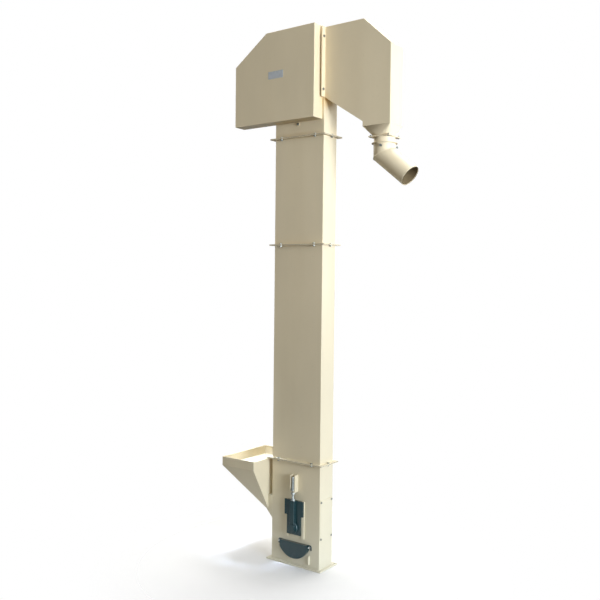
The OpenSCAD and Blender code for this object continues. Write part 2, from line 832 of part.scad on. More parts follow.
module guard_outline(t) {
    length = sqrt(guard_cut_x * guard_cut_x + guard_cut_z * guard_cut_z);
    polygon([[-guard_left + t, guard_z0 + t], [guard_right - t, guard_z0 + t], [guard_right - t, guard_z1 - t],
             [-guard_left + guard_cut_x + t * (length - guard_cut_x) / guard_cut_z, guard_z1 - t],
             [-guard_left + t, guard_z1 - guard_cut_z - t * (length - guard_cut_z) / guard_cut_x]]);
}

module side_spots() {
    for (z = side_tabs) translate([-guard_left, guard_screw_y, z]) rotate([0, -90, 0]) children();
    for (x = low_tabs) translate([x, guard_screw_y, guard_z0]) rotate([180, 0, 0]) children();
}

module neck_spot() {
    translate([neck_screw_x, -hd - guard_t, neck_screw_z]) rotate([90, 0, 0]) children();
}

module guard_back_plate() {
    color(cream) difference() {
        union() {
            slab(guard_y1 - guard_t, guard_y1) guard_outline(0);
            block([neck_screw_x - lug, guard_y1 - guard_t, neck_screw_z - lug], [neck_screw_x + lug, guard_y1, guard_z0 + lug]);
            for (z = side_tabs)
                block([-guard_left + guard_t, guard_y1 - guard_t - tab_d, z - tab_w / 2],
                      [-guard_left + guard_t + tab_t, guard_y1, z + tab_w / 2]);
            for (x = low_tabs)
                block([x - tab_w / 2, guard_y1 - guard_t - tab_d, guard_z0 + guard_t],
                      [x + tab_w / 2, guard_y1, guard_z0 + guard_t + tab_t]);
        }
        block([-guard_hole, guard_y0, head_z - guard_hole], [guard_hole, 0, head_z + guard_hole]);
        block([-motor_x - shaft_hole, guard_y0, motor_z - shaft_hole],
              [-motor_x + shaft_hole + motor_slot, 0, motor_z + shaft_hole]);
        side_spots() translate([0, 0, -guard_t - tab_t - cut]) cylinder(d = guard_screw_d, h = 10, $fn = 32);
        neck_spot() translate([0, 0, -guard_t - cut]) cylinder(d = bolt_d, h = 10, $fn = 32);
    }
}

module drive_guard() {
    color(cream) difference() {
        slab(guard_y0, guard_y1 - guard_t) guard_outline(0);
        slab(guard_y0 + guard_t, guard_y1) guard_outline(guard_t);
        side_spots() translate([0, 0, -guard_t - cut]) cylinder(d = guard_screw_d, h = 10, $fn = 32);
    }
}

// Guard screws along its rim, and one through a lug below the guard into the neck
module guard_screws() {
    color(zinc) {
        side_spots() screw(guard_screw_d, guard_t + tab_t + 3);
        neck_spot() screw(bolt_d, guard_t + sheet_t + 6);
    }
}

label_w = 140;
label_h = 56;
label_x = -0.4 * guard_left;
label_z = guard_z0 + 0.48 * (guard_z1 - guard_z0);

module label_plate() {
    color(steel) block([label_x, guard_y0 - 1, label_z], [label_x + label_w, guard_y0, label_z + label_h]);
}

// Head bearings: flanged housings bolted to the head casing's front and back
bearing_s = 118;
bearing_t = 14;
bearing_l = 36;
bearing_r = 44;
bearing_hole = 45;

module bearing_bolt_holes() {
    for (x = [-bearing_hole, bearing_hole], z = [-bearing_hole, bearing_hole])
        rod_y(x, head_z + z, bolt_d / 2 + bolt_gap, -hd - bearing_t - cut, hd + bearing_t + cut, 32);
}

module head_bearings() {
    color(teal) difference() {
        front_and_back() {
            block([-bearing_s / 2, -hd - bearing_t, head_z - bearing_s / 2], [bearing_s / 2, -hd, head_z + bearing_s / 2]);
            rod_y(0, head_z, bearing_r, -hd - bearing_l, -hd);
        }
        rod_y(0, head_z, head_shaft_d / 2 + 12, -hd - bearing_l - cut, hd + bearing_l + cut);
        bearing_bolt_holes();
    }
}

module head_inserts() {
    color(steel) front_and_back() difference() {
        rod_y(0, head_z, head_shaft_d / 2 + 12, -hd - bearing_l - 4, -hd);
        rod_y(0, head_z, head_shaft_d / 2 + bearing_gap, -hd - bearing_l - 4 - cut, -hd + cut);
    }
}

module head_bearing_bolts() {
    color(zinc) front_and_back() for (x = [-bearing_hole, bearing_hole], z = [-bearing_hole, bearing_hole])
        translate([x, -hd - bearing_t, head_z + z]) rotate([90, 0, 0]) bolt(bolt_d, bearing_t + sheet_t);
}

// Head shaft, pulley with lagging, driven sheave and keys
lagging_t = 6;
disc_t = 6;
rim_t = 6;
sheave_y1 = -hd - bearing_l - 8;
sheave_y0 = sheave_y1 - sheave_w;
key_w = 14;
key_in = 5.5;
key_up = 3.5;
groove_n = 2;
groove_pitch = 19;
groove_deep = 14;
groove_top = 17;
groove_low = 10;

module pulley(z, r, bore) {
    difference() {
        union() {
            difference() {
                rod_y(0, z, r, -pulley_w / 2, pulley_w / 2, 96);
                rod_y(0, z, r - rim_t, -pulley_w, pulley_w, 96);
            }
            for (s = [-1, 1]) translate([0, s * pulley_w / 4, 0]) rod_y(0, z, r - rim_t, -disc_t / 2, disc_t / 2, 96);
            rod_y(0, z, bore + 12, -pulley_w / 2, pulley_w / 2);
        }
        rod_y(0, z, bore, -pulley_w, pulley_w);
    }
}

module head_keys() {
    z = head_z + head_shaft_d / 2;
    color(steel) {
        block([-key_w / 2, sheave_y0 + 4, z - key_in], [key_w / 2, sheave_y1 - 4, z + key_up]);
        block([-key_w / 2, -pulley_w / 2 + 8, z - key_in], [key_w / 2, pulley_w / 2 - 8, z + key_up]);
    }
}

module head_shaft() {
    color(steel) difference() {
        rod_y(0, head_z, head_shaft_d / 2, sheave_y0 - 4, hd + bearing_l + 16);
        head_keys();
    }
}

module head_pulley() {
    color(steel) difference() {
        pulley(head_z, pulley_r - lagging_t, head_shaft_d / 2);
        head_keys();
    }
}

module head_lagging() {
    color(black) difference() {
        rod_y(0, head_z, pulley_r, -pulley_w / 2, pulley_w / 2, 96);
        rod_y(0, head_z, pulley_r - lagging_t, -pulley_w, pulley_w, 96);
    }
}

// V-belt sheave around the Y axis at x = 0 and z = 0, from y = 0 to y = sheave_w
module sheave(r, bore) {
    edge = (sheave_w - (groove_n - 1) * groove_pitch) / 2;
    rotate([-90, 0, 0]) difference() {
        cylinder(r = r, h = sheave_w, $fn = 96);
        for (i = [0:groove_n - 1]) translate([0, 0, edge + i * groove_pitch]) rotate_extrude($fn = 96)
            polygon([[r - groove_deep, -groove_low / 2], [r + cut, -groove_top / 2], [r + cut, groove_top / 2],
                     [r - groove_deep, groove_low / 2]]);
        translate([0, 0, -cut]) cylinder(r = bore, h = sheave_w + 2 * cut, $fn = 64);
    }
}

module head_sheave() {
    hub_r = head_shaft_d / 2 + 22;
    ring_r = sheave_r - groove_deep - 12;
    hole_r = (ring_r - hub_r) / 2 - 8;
    color(steel) difference() {
        translate([0, sheave_y0, head_z]) sheave(sheave_r, head_shaft_d / 2);
        for (side = [0, 1]) difference() {
            rod_y(0, head_z, ring_r, side > 0 ? sheave_y1 - 14 : sheave_y0 - cut,
                  side > 0 ? sheave_y1 + cut : sheave_y0 + 14, 96);
            rod_y(0, head_z, hub_r, sheave_y0 - 2 * cut, sheave_y1 + 2 * cut);
        }
        for (a = [0:60:300]) translate([0, 0, head_z]) rotate([0, a, 0])
            rod_y((ring_r + hub_r) / 2, 0, hole_r, sheave_y0 - cut, sheave_y1 + cut);
        head_keys();
    }
}

// Tail shaft and pulley
module tail_shaft() {
    color(steel) rod_y(0, tail_z, tail_shaft_d / 2, housing_y - boss_l + cap_gap / 2, -housing_y + boss_l - cap_gap / 2);
}

module tail_pulley() {
    color(steel) pulley(tail_z, pulley_r, tail_shaft_d / 2);
}

// Belt loop around both pulleys, and the places along it
belt_in = pulley_r + run_gap;
belt_out = belt_in + belt_t;
leg_l = head_z - tail_z;
loop_l = 2 * leg_l + 2 * PI * belt_out;
bucket_n = round(loop_l / bucket_pitch);
bucket_step = loop_l / bucket_n;
half_turn = PI * belt_out;

module loop(r, y0, y1) {
    rod_y(0, tail_z, r, y0, y1, 128);
    rod_y(0, head_z, r, y0, y1, 128);
    block([-r, y0, tail_z], [r, y1, head_z]);
}

// Moves its children, drawn for the rising leg at height 0, to the distance s along the loop
module at_loop(s) {
    if (s < leg_l) translate([0, 0, tail_z + s]) children();
    else if (s < leg_l + half_turn)
        translate([0, 0, head_z]) rotate([0, (s - leg_l) / half_turn * 180, 0]) children();
    else if (s < 2 * leg_l + half_turn)
        translate([0, 0, head_z - (s - leg_l - half_turn)]) rotate([0, 180, 0]) children();
    else translate([0, 0, tail_z]) rotate([0, 180 + (s - 2 * leg_l - half_turn) / half_turn * 180, 0]) children();
}

bucket_places = [for (i = [0:bucket_n - 1]) (i + 0.5) * bucket_step];
bucket_bolt_y = belt_w / 4;
bucket_bolt_d = 8;

module bucket_holes() {
    for (y = [-bucket_bolt_y, bucket_bolt_y]) rod_x(y, 0, bucket_bolt_d / 2, -belt_out - bucket_t - cut, -belt_in + cut, 32);
}

module elevator_belt() {
    color(black) difference() {
        loop(belt_out, -belt_w / 2, belt_w / 2);
        loop(belt_in, -belt_w, belt_w);
        for (s = bucket_places) at_loop(s) bucket_holes();
    }
}

module bucket_outline(t) {
    back = -belt_out;
    polygon([[back - t, bucket_h / 2 + (t > 0 ? cut : 0)], [back - t, -bucket_h / 2 + t],
             [back - bucket_out * 0.45, -bucket_h / 2 + t], [back - bucket_out * 0.8 + t * 0.6, -bucket_h * 0.2 + t * 0.4],
             [back - bucket_out + t, bucket_h * 0.22 + (t > 0 ? t : 0)]]);
}

module bucket() {
    difference() {
        slab(-belt_w / 2, belt_w / 2) bucket_outline(0);
        slab(-belt_w / 2 + bucket_t, belt_w / 2 - bucket_t) bucket_outline(bucket_t);
        bucket_holes();
    }
}

module buckets() {
    color(steel) for (s = bucket_places) at_loop(s) bucket();
}

module bucket_bolts() {
    color(zinc) for (s = bucket_places) at_loop(s) for (y = [-bucket_bolt_y, bucket_bolt_y]) {
        rod_x(y, 0, bucket_bolt_d / 2, -belt_out - bucket_t - 9, -belt_in - 0.5, 24);
        translate([-belt_out - bucket_t - 6, y, 0]) rotate([0, 90, 0]) cylinder(r = hex_r(bucket_bolt_d), h = 6, $fn = 6);
    }
}

// Motor on a base plate, carried by a slotted bracket on the head casing's left side
motor_z = head_z - motor_drop;
motor_y0 = -hd + 25;
foot_z = motor_z - motor_foot;
base_plate_t = 8;
bracket_z = foot_z - base_plate_t;
arm = 50;
arm_t = 5;
bracket_x0 = -motor_x - 95;
bracket_y = [motor_y0 + 15, hd - arm / 2];
plate_h = 120;
clamp_d = 8;
clamp_y = [motor_y0, motor_y0 + 118];
clamp_x = 60;
foot_x = 62;
foot_t = 12;
foot_bolt_x = 74;
foot_y = [motor_y0 + 10, motor_y0 + motor_l - 50];

module bracket_bolt_spots() {
    for (y = [-hd + 22, hd - 22], z = [20, plate_h - 20]) translate([-hw - flange_t, y, bracket_z - z - arm_t])
        rotate([0, -90, 0]) children();
}

module bracket_bolt_holes() {
    bracket_bolt_spots() translate([0, 0, -flange_t - sheet_t - cut]) cylinder(d = bolt_d, h = 14, $fn = 32);
}

module clamp_spots() {
    for (x = [-clamp_x, clamp_x], y = clamp_y) translate([-motor_x + x, y, foot_z]) children();
}

module motor_bracket() {
    color(cream) difference() {
        union() {
            block([-hw - flange_t, -hd, bracket_z - plate_h], [-hw, hd, bracket_z]);
            for (y = bracket_y) {
                block([bracket_x0, y - arm / 2, bracket_z - arm_t], [-hw - flange_t, y + arm / 2, bracket_z]);
                block([bracket_x0, y + arm / 2 - arm_t, bracket_z - arm], [-hw - flange_t, y + arm / 2, bracket_z - arm_t]);
            }
        }
        bracket_bolt_holes();
        clamp_spots() for (x = [-motor_slot / 2, motor_slot / 2]) translate([x, 0, -30])
            cylinder(d = clamp_d + 2 * bolt_gap, h = 30, $fn = 32);
        clamp_spots() block([-motor_slot / 2, -clamp_d / 2 - bolt_gap, -30], [motor_slot / 2, clamp_d / 2 + bolt_gap, 0]);
    }
}

module motor_slide_base() {
    color(cream) difference() {
        block([-motor_x - 90, motor_y0 - 12, bracket_z], [-motor_x + 90, motor_y0 + motor_l + 2, foot_z]);
        clamp_spots() translate([0, 0, -base_plate_t - cut]) cylinder(d = clamp_d, h = base_plate_t + 2 * cut, $fn = 32);
        foot_spots() translate([0, 0, -foot_t - base_plate_t - cut]) cylinder(d = clamp_d, h = 40, $fn = 32);
    }
}

module foot_spots() {
    for (s = [-1, 1], y = foot_y) translate([-motor_x + s * foot_bolt_x, y + 20, foot_z + foot_t]) children();
}

fin_n = 24;
fin_h = 10;
fin_t = 3;
stator_r = 66;
core_r = 44;
box_y = [motor_y0 + 40, motor_y0 + 130];
box_w = 84;

module motor_body() {
    color(motor_grey) difference() {
        union() {
            translate([-motor_x, 0, motor_z]) {
                rod_y(0, 0, motor_r, motor_y0, motor_y0 + motor_l, 96);
                for (i = [0:fin_n - 1]) rotate([0, i * 360 / fin_n, 0])
                    block([motor_r - 2, motor_y0 + 8, -fin_t / 2], [motor_r + fin_h, motor_y0 + motor_l - 8, fin_t / 2]);
                block([-box_w / 2, box_y[0], motor_r - 20], [box_w / 2, box_y[1], motor_r + fin_h + 2]);
            }
            for (s = [-1, 1], y = foot_y)
                block([-motor_x + s * foot_x - 22, y, foot_z], [-motor_x + s * foot_x + 22, y + 40, foot_z + foot_t]);
            for (s = [-1, 1], y = foot_y)
                block([-motor_x + s * 55 - 9, y, foot_z + 2], [-motor_x + s * 55 + 9, y + 40, foot_z + 48]);
        }
        rod_y(-motor_x, motor_z, stator_r, motor_y0 - cut, motor_y0 + motor_l + cut, 96);
        foot_spots() translate([0, 0, -foot_t - cut]) cylinder(d = clamp_d, h = foot_t + 2 * cut, $fn = 32);
    }
}

module motor_stator() {
    color(steel) difference() {
        rod_y(-motor_x, motor_z, stator_r, motor_y0 + 20, motor_y0 + motor_l - 20, 96);
        rod_y(-motor_x, motor_z, core_r + 0.6, motor_y0, motor_y0 + motor_l, 96);
    }
}

module motor_end_covers() {
    color(motor_grey) translate([-motor_x, 0, motor_z]) {
        difference() {
            union() {
                rod_y(0, 0, motor_r + 4, motor_y0 - 12, motor_y0, 96);
                rod_y(0, 0, motor_r * 0.6, motor_y0 - 20, motor_y0 - 12, 96);
            }
            rod_y(0, 0, motor_shaft_d / 2 + bearing_gap, motor_y0 - 20 - cut, motor_y0 + cut);
        }
        difference() {
            rod_y(0, 0, motor_r + 4, motor_y0 + motor_l, motor_y0 + motor_l + 12, 96);
            rod_y(0, 0, motor_shaft_d / 2 + bearing_gap, motor_y0 + motor_l - cut, motor_y0 + motor_l + 12 + cut);
        }
    }
}

cowl_y0 = motor_y0 + motor_l + 12;
cowl_l = 62;

module motor_fan_cowl() {
    color(motor_grey) translate([-motor_x, 0, motor_z]) difference() {
        rod_y(0, 0, motor_r + 6, cowl_y0 - 9, cowl_y0 + cowl_l, 96);
        rod_y(0, 0, motor_r + 4, cowl_y0 - 9 - cut, cowl_y0 + cowl_l - 2, 96);
        for (a = [0:45:315]) rotate([0, a, 0])
            block([20, cowl_y0 + cowl_l - 4, -5], [motor_r - 12, cowl_y0 + cowl_l + cut, 5]);
    }
}

module motor_terminal_box() {
    color(motor_grey) block([-motor_x - box_w / 2, box_y[0], motor_z + motor_r + fin_h + 2],
                            [-motor_x + box_w / 2, box_y[1], motor_z + 1.7 * motor_r]);
}

module motor_bolts() {
    color(zinc) {
        foot_spots() screw(clamp_d, foot_t + base_plate_t - 2);
        clamp_spots() bolt(clamp_d, base_plate_t + arm_t);
        bracket_bolt_spots() bolt(bolt_d, flange_t + sheet_t);
    }
}

module motor_shaft() {
    color(steel) rod_y(-motor_x, motor_z, motor_shaft_d / 2, sheave_y0 - 2, cowl_y0 + 40);
}

module motor_core() {
    color(steel) difference() {
        rod_y(-motor_x, motor_z, core_r, motor_y0 + 20, motor_y0 + motor_l - 20, 96);
        rod_y(-motor_x, motor_z, motor_shaft_d / 2, motor_y0, motor_y0 + motor_l);
    }
}

module motor_sheave() {
    color(steel) translate([-motor_x, sheave_y0, motor_z]) sheave(pinion_r, motor_shaft_d / 2);
}

module motor_fan() {
    color(black) translate([-motor_x, 0, motor_z]) {
        difference() {
            rod_y(0, 0, 26, cowl_y0 + 8, cowl_y0 + 38, 64);
            rod_y(0, 0, motor_shaft_d / 2, cowl_y0 + 8 - cut, cowl_y0 + 38 + cut, 64);
        }
        for (a = [0:45:315]) rotate([0, a, 0]) block([24, cowl_y0 + 8, -2], [motor_r - 6, cowl_y0 + 34, 2]);
    }
}

// V-belts around both sheaves
vbelt_w = 11;
vbelt_t = 9;
vbelt_deep = 10;

// Outline of an open belt around two circles: both circles and the four tangent points between them
module open_loop(r1, r2) {
    reach = sqrt(motor_x * motor_x + motor_drop * motor_drop);
    tilt = atan2(-motor_drop, -motor_x);
    lean = acos((r1 - r2) / reach);
    points = [for (s = [1, -1]) [r1 * cos(tilt + s * lean), head_z + r1 * sin(tilt + s * lean)]];
    ends = [for (s = [-1, 1]) [-motor_x + r2 * cos(tilt + s * lean), motor_z + r2 * sin(tilt + s * lean)]];
    translate([0, head_z]) circle(r = r1, $fn = 128);
    translate([-motor_x, motor_z]) circle(r = r2, $fn = 128);
    polygon([points[0], points[1], ends[0], ends[1]]);
}

module drive_belts() {
    edge = (sheave_w - (groove_n - 1) * groove_pitch) / 2;
    color(black) for (i = [0:groove_n - 1]) {
        y = sheave_y0 + edge + i * groove_pitch;
        slab(y - vbelt_w / 2, y + vbelt_w / 2) difference() {
            open_loop(sheave_r - vbelt_deep + vbelt_t, pinion_r - vbelt_deep + vbelt_t);
            open_loop(sheave_r - vbelt_deep, pinion_r - vbelt_deep);
        }
    }
}

base_frame();
boot_casing();
boot_floor();
boot_side_panel();
side_panel_bolts();
takeup_rails();
takeup_brackets();
takeup_nuts();
takeup_housings();
takeup_inserts();
takeup_rods();
takeup_lock_nuts();
cleanout_studs();
cleanout_nuts();
cleanout_cover();
feed_hopper();
hopper_throat();
trunk_lower();
trunk_upper();
flange_gaskets();
flange_bolts();
head_casing();
discharge_hood();
spout_transition();
outlet_flange();
spout_stub();
outlet_bolts();
spout_collar();
spout_pipe();
elbow_screws();
guard_back_plate();
drive_guard();
guard_screws();
label_plate();
head_bearings();
head_inserts();
head_bearing_bolts();
head_shaft();
head_pulley();
head_lagging();
head_sheave();
head_keys();
tail_shaft();
tail_pulley();
elevator_belt();
buckets();
bucket_bolts();
motor_bracket();
motor_slide_base();
motor_body();
motor_stator();
motor_end_covers();
motor_fan_cowl();
motor_terminal_box();
motor_bolts();
motor_shaft();
motor_core();
motor_sheave();
motor_fan();
drive_belts();
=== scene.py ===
"""Bucket elevator for grain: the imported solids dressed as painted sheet, castings, fasteners, threads
and welds."""

import json
import math

import bmesh
import bpy
from mathutils import Matrix, Vector

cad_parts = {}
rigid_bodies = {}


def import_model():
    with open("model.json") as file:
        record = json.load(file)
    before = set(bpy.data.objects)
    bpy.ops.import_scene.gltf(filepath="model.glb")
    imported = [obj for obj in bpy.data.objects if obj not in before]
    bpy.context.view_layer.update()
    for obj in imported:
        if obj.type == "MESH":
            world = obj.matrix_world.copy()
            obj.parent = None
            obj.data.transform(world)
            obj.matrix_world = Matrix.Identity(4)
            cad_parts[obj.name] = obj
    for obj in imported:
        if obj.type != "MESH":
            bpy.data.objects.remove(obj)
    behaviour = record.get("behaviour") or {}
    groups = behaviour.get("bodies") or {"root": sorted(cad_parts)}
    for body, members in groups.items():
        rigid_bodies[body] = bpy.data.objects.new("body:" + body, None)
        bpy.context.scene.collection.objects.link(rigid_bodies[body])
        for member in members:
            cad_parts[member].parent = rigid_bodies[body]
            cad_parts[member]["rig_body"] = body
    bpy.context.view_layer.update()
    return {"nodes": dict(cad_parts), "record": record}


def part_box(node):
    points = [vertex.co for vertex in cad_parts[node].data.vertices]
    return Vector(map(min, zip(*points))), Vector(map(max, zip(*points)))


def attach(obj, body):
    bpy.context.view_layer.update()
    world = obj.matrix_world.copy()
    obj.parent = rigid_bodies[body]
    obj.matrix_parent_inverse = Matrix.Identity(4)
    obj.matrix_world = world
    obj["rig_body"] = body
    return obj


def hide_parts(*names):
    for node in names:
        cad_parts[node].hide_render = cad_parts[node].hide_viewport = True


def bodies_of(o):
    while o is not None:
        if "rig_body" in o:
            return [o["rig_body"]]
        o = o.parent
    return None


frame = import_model()
nodes = frame["nodes"]
slot_of = {s["node"]: s["material_slot"] for s in frame["record"]["subparts"]}
scene = bpy.context.scene
scene.view_settings.view_transform = "Standard"

# The camera stands at eye height, to the right of the guard's side. A fit to the casing's corners gave
# its place, its turns and its lens
EYE = Vector((3.4113, -4.7151, 2.1709))
YAW, PITCH, ROLL = (math.radians(a) for a in (-36.197, -1.453, 0.618))
LENS_MM = 45.52
SENSOR_MM = 36


def add_camera():
    forward = Vector((math.sin(YAW) * math.cos(PITCH), math.cos(YAW) * math.cos(PITCH), math.sin(PITCH)))
    level = Vector((math.cos(YAW), -math.sin(YAW), 0))
    above = level.cross(forward)
    right = level * math.cos(ROLL) + above * math.sin(ROLL)
    up = above * math.cos(ROLL) - level * math.sin(ROLL)
    camera = bpy.data.objects.new("camera", bpy.data.cameras.new("camera"))
    camera.matrix_world = Matrix.Translation(EYE) @ Matrix((right, up, -forward)).transposed().to_4x4()
    camera.data.lens = LENS_MM
    camera.data.sensor_width = SENSOR_MM
    camera.data.clip_end = 100
    scene.collection.objects.link(camera)
    scene.camera = camera


# Materials
WHITE = (1, 1, 1)
# The sockets of a node that mixes colours: the share of the second colour, and the two colours
SHARE, FIRST, SECOND = 0, 6, 7


class Shader:
    """A material's node tree, with short ways to add textures and join sockets."""

    def __init__(self, name):
        self.material = bpy.data.materials.new(name)
        self.material.use_nodes = True
        self.tree = self.material.node_tree
        self.surface = self.tree.nodes["Principled BSDF"]

    def add(self, kind, **settings):
        node = self.tree.nodes.new(kind)
        for key, value in settings.items():
            setattr(node, key, value)
        return node

    def join(self, out, into):
        self.tree.links.new(out, into)

    def feed(self, value, socket):
        """Give a socket what another socket puts out, a colour or a number."""
        if isinstance(value, bpy.types.NodeSocket):
            self.join(value, socket)
        elif isinstance(value, tuple):
            socket.default_value = (*value, 1)
        else:
            socket.default_value = value

    def noise(self, scale, detail=4, rough=0.6, stretch=(1, 1, 1)):
        """Noise in the part's own frame. A small stretch along an axis draws it out along that axis."""
        place = self.add("ShaderNodeTexCoord")
        mapping = self.add("ShaderNodeMapping")
        mapping.inputs["Scale"].default_value = stretch
        texture = self.add("ShaderNodeTexNoise")
        texture.inputs["Scale"].default_value = scale
        texture.inputs["Detail"].default_value = detail
        texture.inputs["Roughness"].default_value = rough
        self.join(place.outputs["Object"], mapping.inputs["Vector"])
        self.join(mapping.outputs["Vector"], texture.inputs["Vector"])
        return texture.outputs["Fac"]

    def ranged(self, value, low, high, to_low, to_high):
        """Carry a value from the range low to high over to the range to_low to to_high."""
        node = self.add("ShaderNodeMapRange")
        node.inputs["From Min"].default_value = low
        node.inputs["From Max"].default_value = high
        node.inputs["To Min"].default_value = to_low
        node.inputs["To Max"].default_value = to_high
        self.join(value, node.inputs["Value"])
        return node.outputs["Result"]

    def ramp(self, value, *stops):
        """The colour for a value, between stops that are pairs of a value and a colour."""
        node = self.add("ShaderNodeValToRGB")
        elements = node.color_ramp.elements
        while len(elements) < len(stops):
            elements.new(0.5)
        for element, (place, colour) in zip(elements, stops):
            element.position = place
            element.color = (*colour, 1)
        self.join(value, node.inputs["Fac"])
        return node.outputs["Color"]

    def mix(self, share, a, b, mode="MIX"):
        node = self.add("ShaderNodeMix", data_type="RGBA", blend_type=mode)
        self.feed(share, node.inputs[SHARE])
        self.feed(a, node.inputs[FIRST])
        self.feed(b, node.inputs[SECOND])
        return node.outputs[2]

    def product(self, a, b):
        node = self.add("ShaderNodeMath", operation="MULTIPLY")
        self.feed(a, node.inputs[0])
        self.feed(b, node.inputs[1])
        return node.outputs["Value"]

    def bump(self, *layers):
        """Stack bump layers, each a height, a strength and a depth in metres."""
        below = None
        for height, strength, depth in layers:
            node = self.add("ShaderNodeBump")
            node.inputs["Strength"].default_value = strength
            node.inputs["Distance"].default_value = depth
            self.join(height, node.inputs["Height"])
            if below:
                self.join(below, node.inputs["Normal"])
            below = node.outputs["Normal"]
        self.join(below, self.surface.inputs["Normal"])

    def height(self, low, high):
        """How far up the part a point lies, from 0 at the height low to 1 at the height high."""
        place = self.add("ShaderNodeTexCoord")
        parts = self.add("ShaderNodeSeparateXYZ")
        self.join(place.outputs["Object"], parts.inputs["Vector"])
        return self.ranged(parts.outputs["Z"], low, high, 0, 1)

    def distance(self, centre, near, far):
        """0 within the distance near of a point of the part, and 1 beyond the distance far."""
        place = self.add("ShaderNodeTexCoord")
        gap = self.add("ShaderNodeVectorMath", operation="DISTANCE")
        gap.inputs[1].default_value = centre
        self.join(place.outputs["Object"], gap.inputs[0])
        return self.ranged(gap.outputs["Value"], near, far, 0, 1)

    def facing(self, low, high):
        """From 0 to 1 as the rise of the surface's normal goes from low to high. The rise is 1 where the
        surface faces straight up and -1 where it faces straight down."""
        geometry = self.add("ShaderNodeNewGeometry")
        parts = self.add("ShaderNodeSeparateXYZ")
        self.join(geometry.outputs["Normal"], parts.inputs["Vector"])
        return self.ranged(parts.outputs["Z"], low, high, 0, 1)

    def edge_wear_and_highlight(self, radius, low, high):
        """Up to 1 where the surface turns sharply within the radius, as on rubbed edges, where a painted
        highlight is laid too.
        """
        bevel = self.add("ShaderNodeBevel", samples=4)
        bevel.inputs["Radius"].default_value = radius
        geometry = self.add("ShaderNodeNewGeometry")
        dot = self.add("ShaderNodeVectorMath", operation="DOT_PRODUCT")
        self.join(bevel.outputs["Normal"], dot.inputs[0])
        self.join(geometry.outputs["Normal"], dot.inputs[1])
        return self.ranged(dot.outputs["Value"], high, low, 0, 1)

    def grime_and_shade(self):
        """The grime of fasteners and the painted shade inside the spout's pipe that a mesh carries at its
        points, from 0 to 1.
        """
        return self.add("ShaderNodeAttribute", attribute_name="grime_and_shade").outputs["Fac"]


def shade(colour, factor):
    return tuple(min(1.0, c * factor) for c in colour)


RUN_TONE = (0.93, 0.91, 0.87)
SPECK_TONE = (0.62, 0.56, 0.47)
DUST_TONE = (0.66, 0.62, 0.51)
# Painted shade on faces that look down
UNDERSIDE_SHADE_TONE = (0.50, 0.43, 0.32)
# Painted shade inside the spout's pipe
INNER_SHADE_TONE = (0.30, 0.26, 0.20)
OIL_TONE = (0.20, 0.20, 0.15)
# Painted shade, with some dirt, darkens and cools the paint towards the floor, in shares of the height
# FOOT_TOP
FOOT_TOP = 3.4
FOOT_SHADE_AND_DIRT_TONES = ((0.0, (0.73, 0.83, 0.98)), (0.07, (0.79, 0.87, 0.97)), (0.22, (0.88, 0.92, 0.97)),
              (0.62, (0.97, 0.98, 1.0)), (1.0, WHITE))


def sprayed(s, base, cloud):
    """The colour of fresh enamel: mottling, faint runs down the sheet and specks."""
    colour = s.ramp(cloud, (0.30, shade(base, 0.95)), (0.52, base), (0.74, shade(base, 1.04)))
    runs = s.ramp(s.noise(5, 3, 0.5, (1, 1, 0.08)), (0.30, RUN_TONE), (0.50, WHITE))
    colour = s.mix(0.35, colour, runs, "MULTIPLY")
    specks = s.ramp(s.noise(55, 6, 0.75), (0.25, SPECK_TONE), (0.36, WHITE))
    return s.mix(0.6, colour, specks, "MULTIPLY")


def painted_shadow(s, colour, centre, near, far, tone):
    """A ragged patch of painted shadow, full within the distance near of a point and gone beyond the
    distance far.
    """
    inside = s.ranged(s.distance(centre, near, far), 0, 1, 1, 0)
    ragged = s.ranged(s.noise(28, 5, 0.6), 0.3, 0.6, 0.4, 1)
    return s.mix(s.product(inside, ragged), colour, tone, "MULTIPLY")


def weathered_and_shaded(s, colour, edge, dust, shadow_patch):
    """The colour after years of use, with painted light and shade: darker towards the floor by painted
    shade and dirt, rubbed edges with a painted highlight, a patch of painted shadow, dust on ledges,
    painted shade on undersides and inside the spout's pipe."""
    # Painted shade and dirt towards the floor
    foot = s.ramp(s.height(0.0, FOOT_TOP), *FOOT_SHADE_AND_DIRT_TONES)
    colour = s.mix(1.0, colour, foot, "MULTIPLY")
    # Lighter edges: rubbed paint and a painted highlight
    worn_lit_edge = s.product(s.edge_wear_and_highlight(0.0025, 0.75, 0.97), 0.45)
    colour = s.mix(worn_lit_edge, colour, edge)
    # A painted shadow of the hood on the neck
    if shadow_patch:
        colour = painted_shadow(s, colour, *shadow_patch)
    uneven = s.ranged(s.noise(16, 5, 0.65), 0.35, 0.65, 0.25, 1)
    ledge = s.product(s.facing(0.45, 0.9), uneven)
    colour = s.mix(s.product(ledge, dust), colour, DUST_TONE)
    # Painted shade on faces that look down
    colour = s.mix(s.facing(-0.85, -0.98), colour, UNDERSIDE_SHADE_TONE, "MULTIPLY")
    # Painted shade inside the spout's pipe, from the mesh's attribute
    return s.mix(s.grime_and_shade(), colour, INNER_SHADE_TONE, "MULTIPLY")


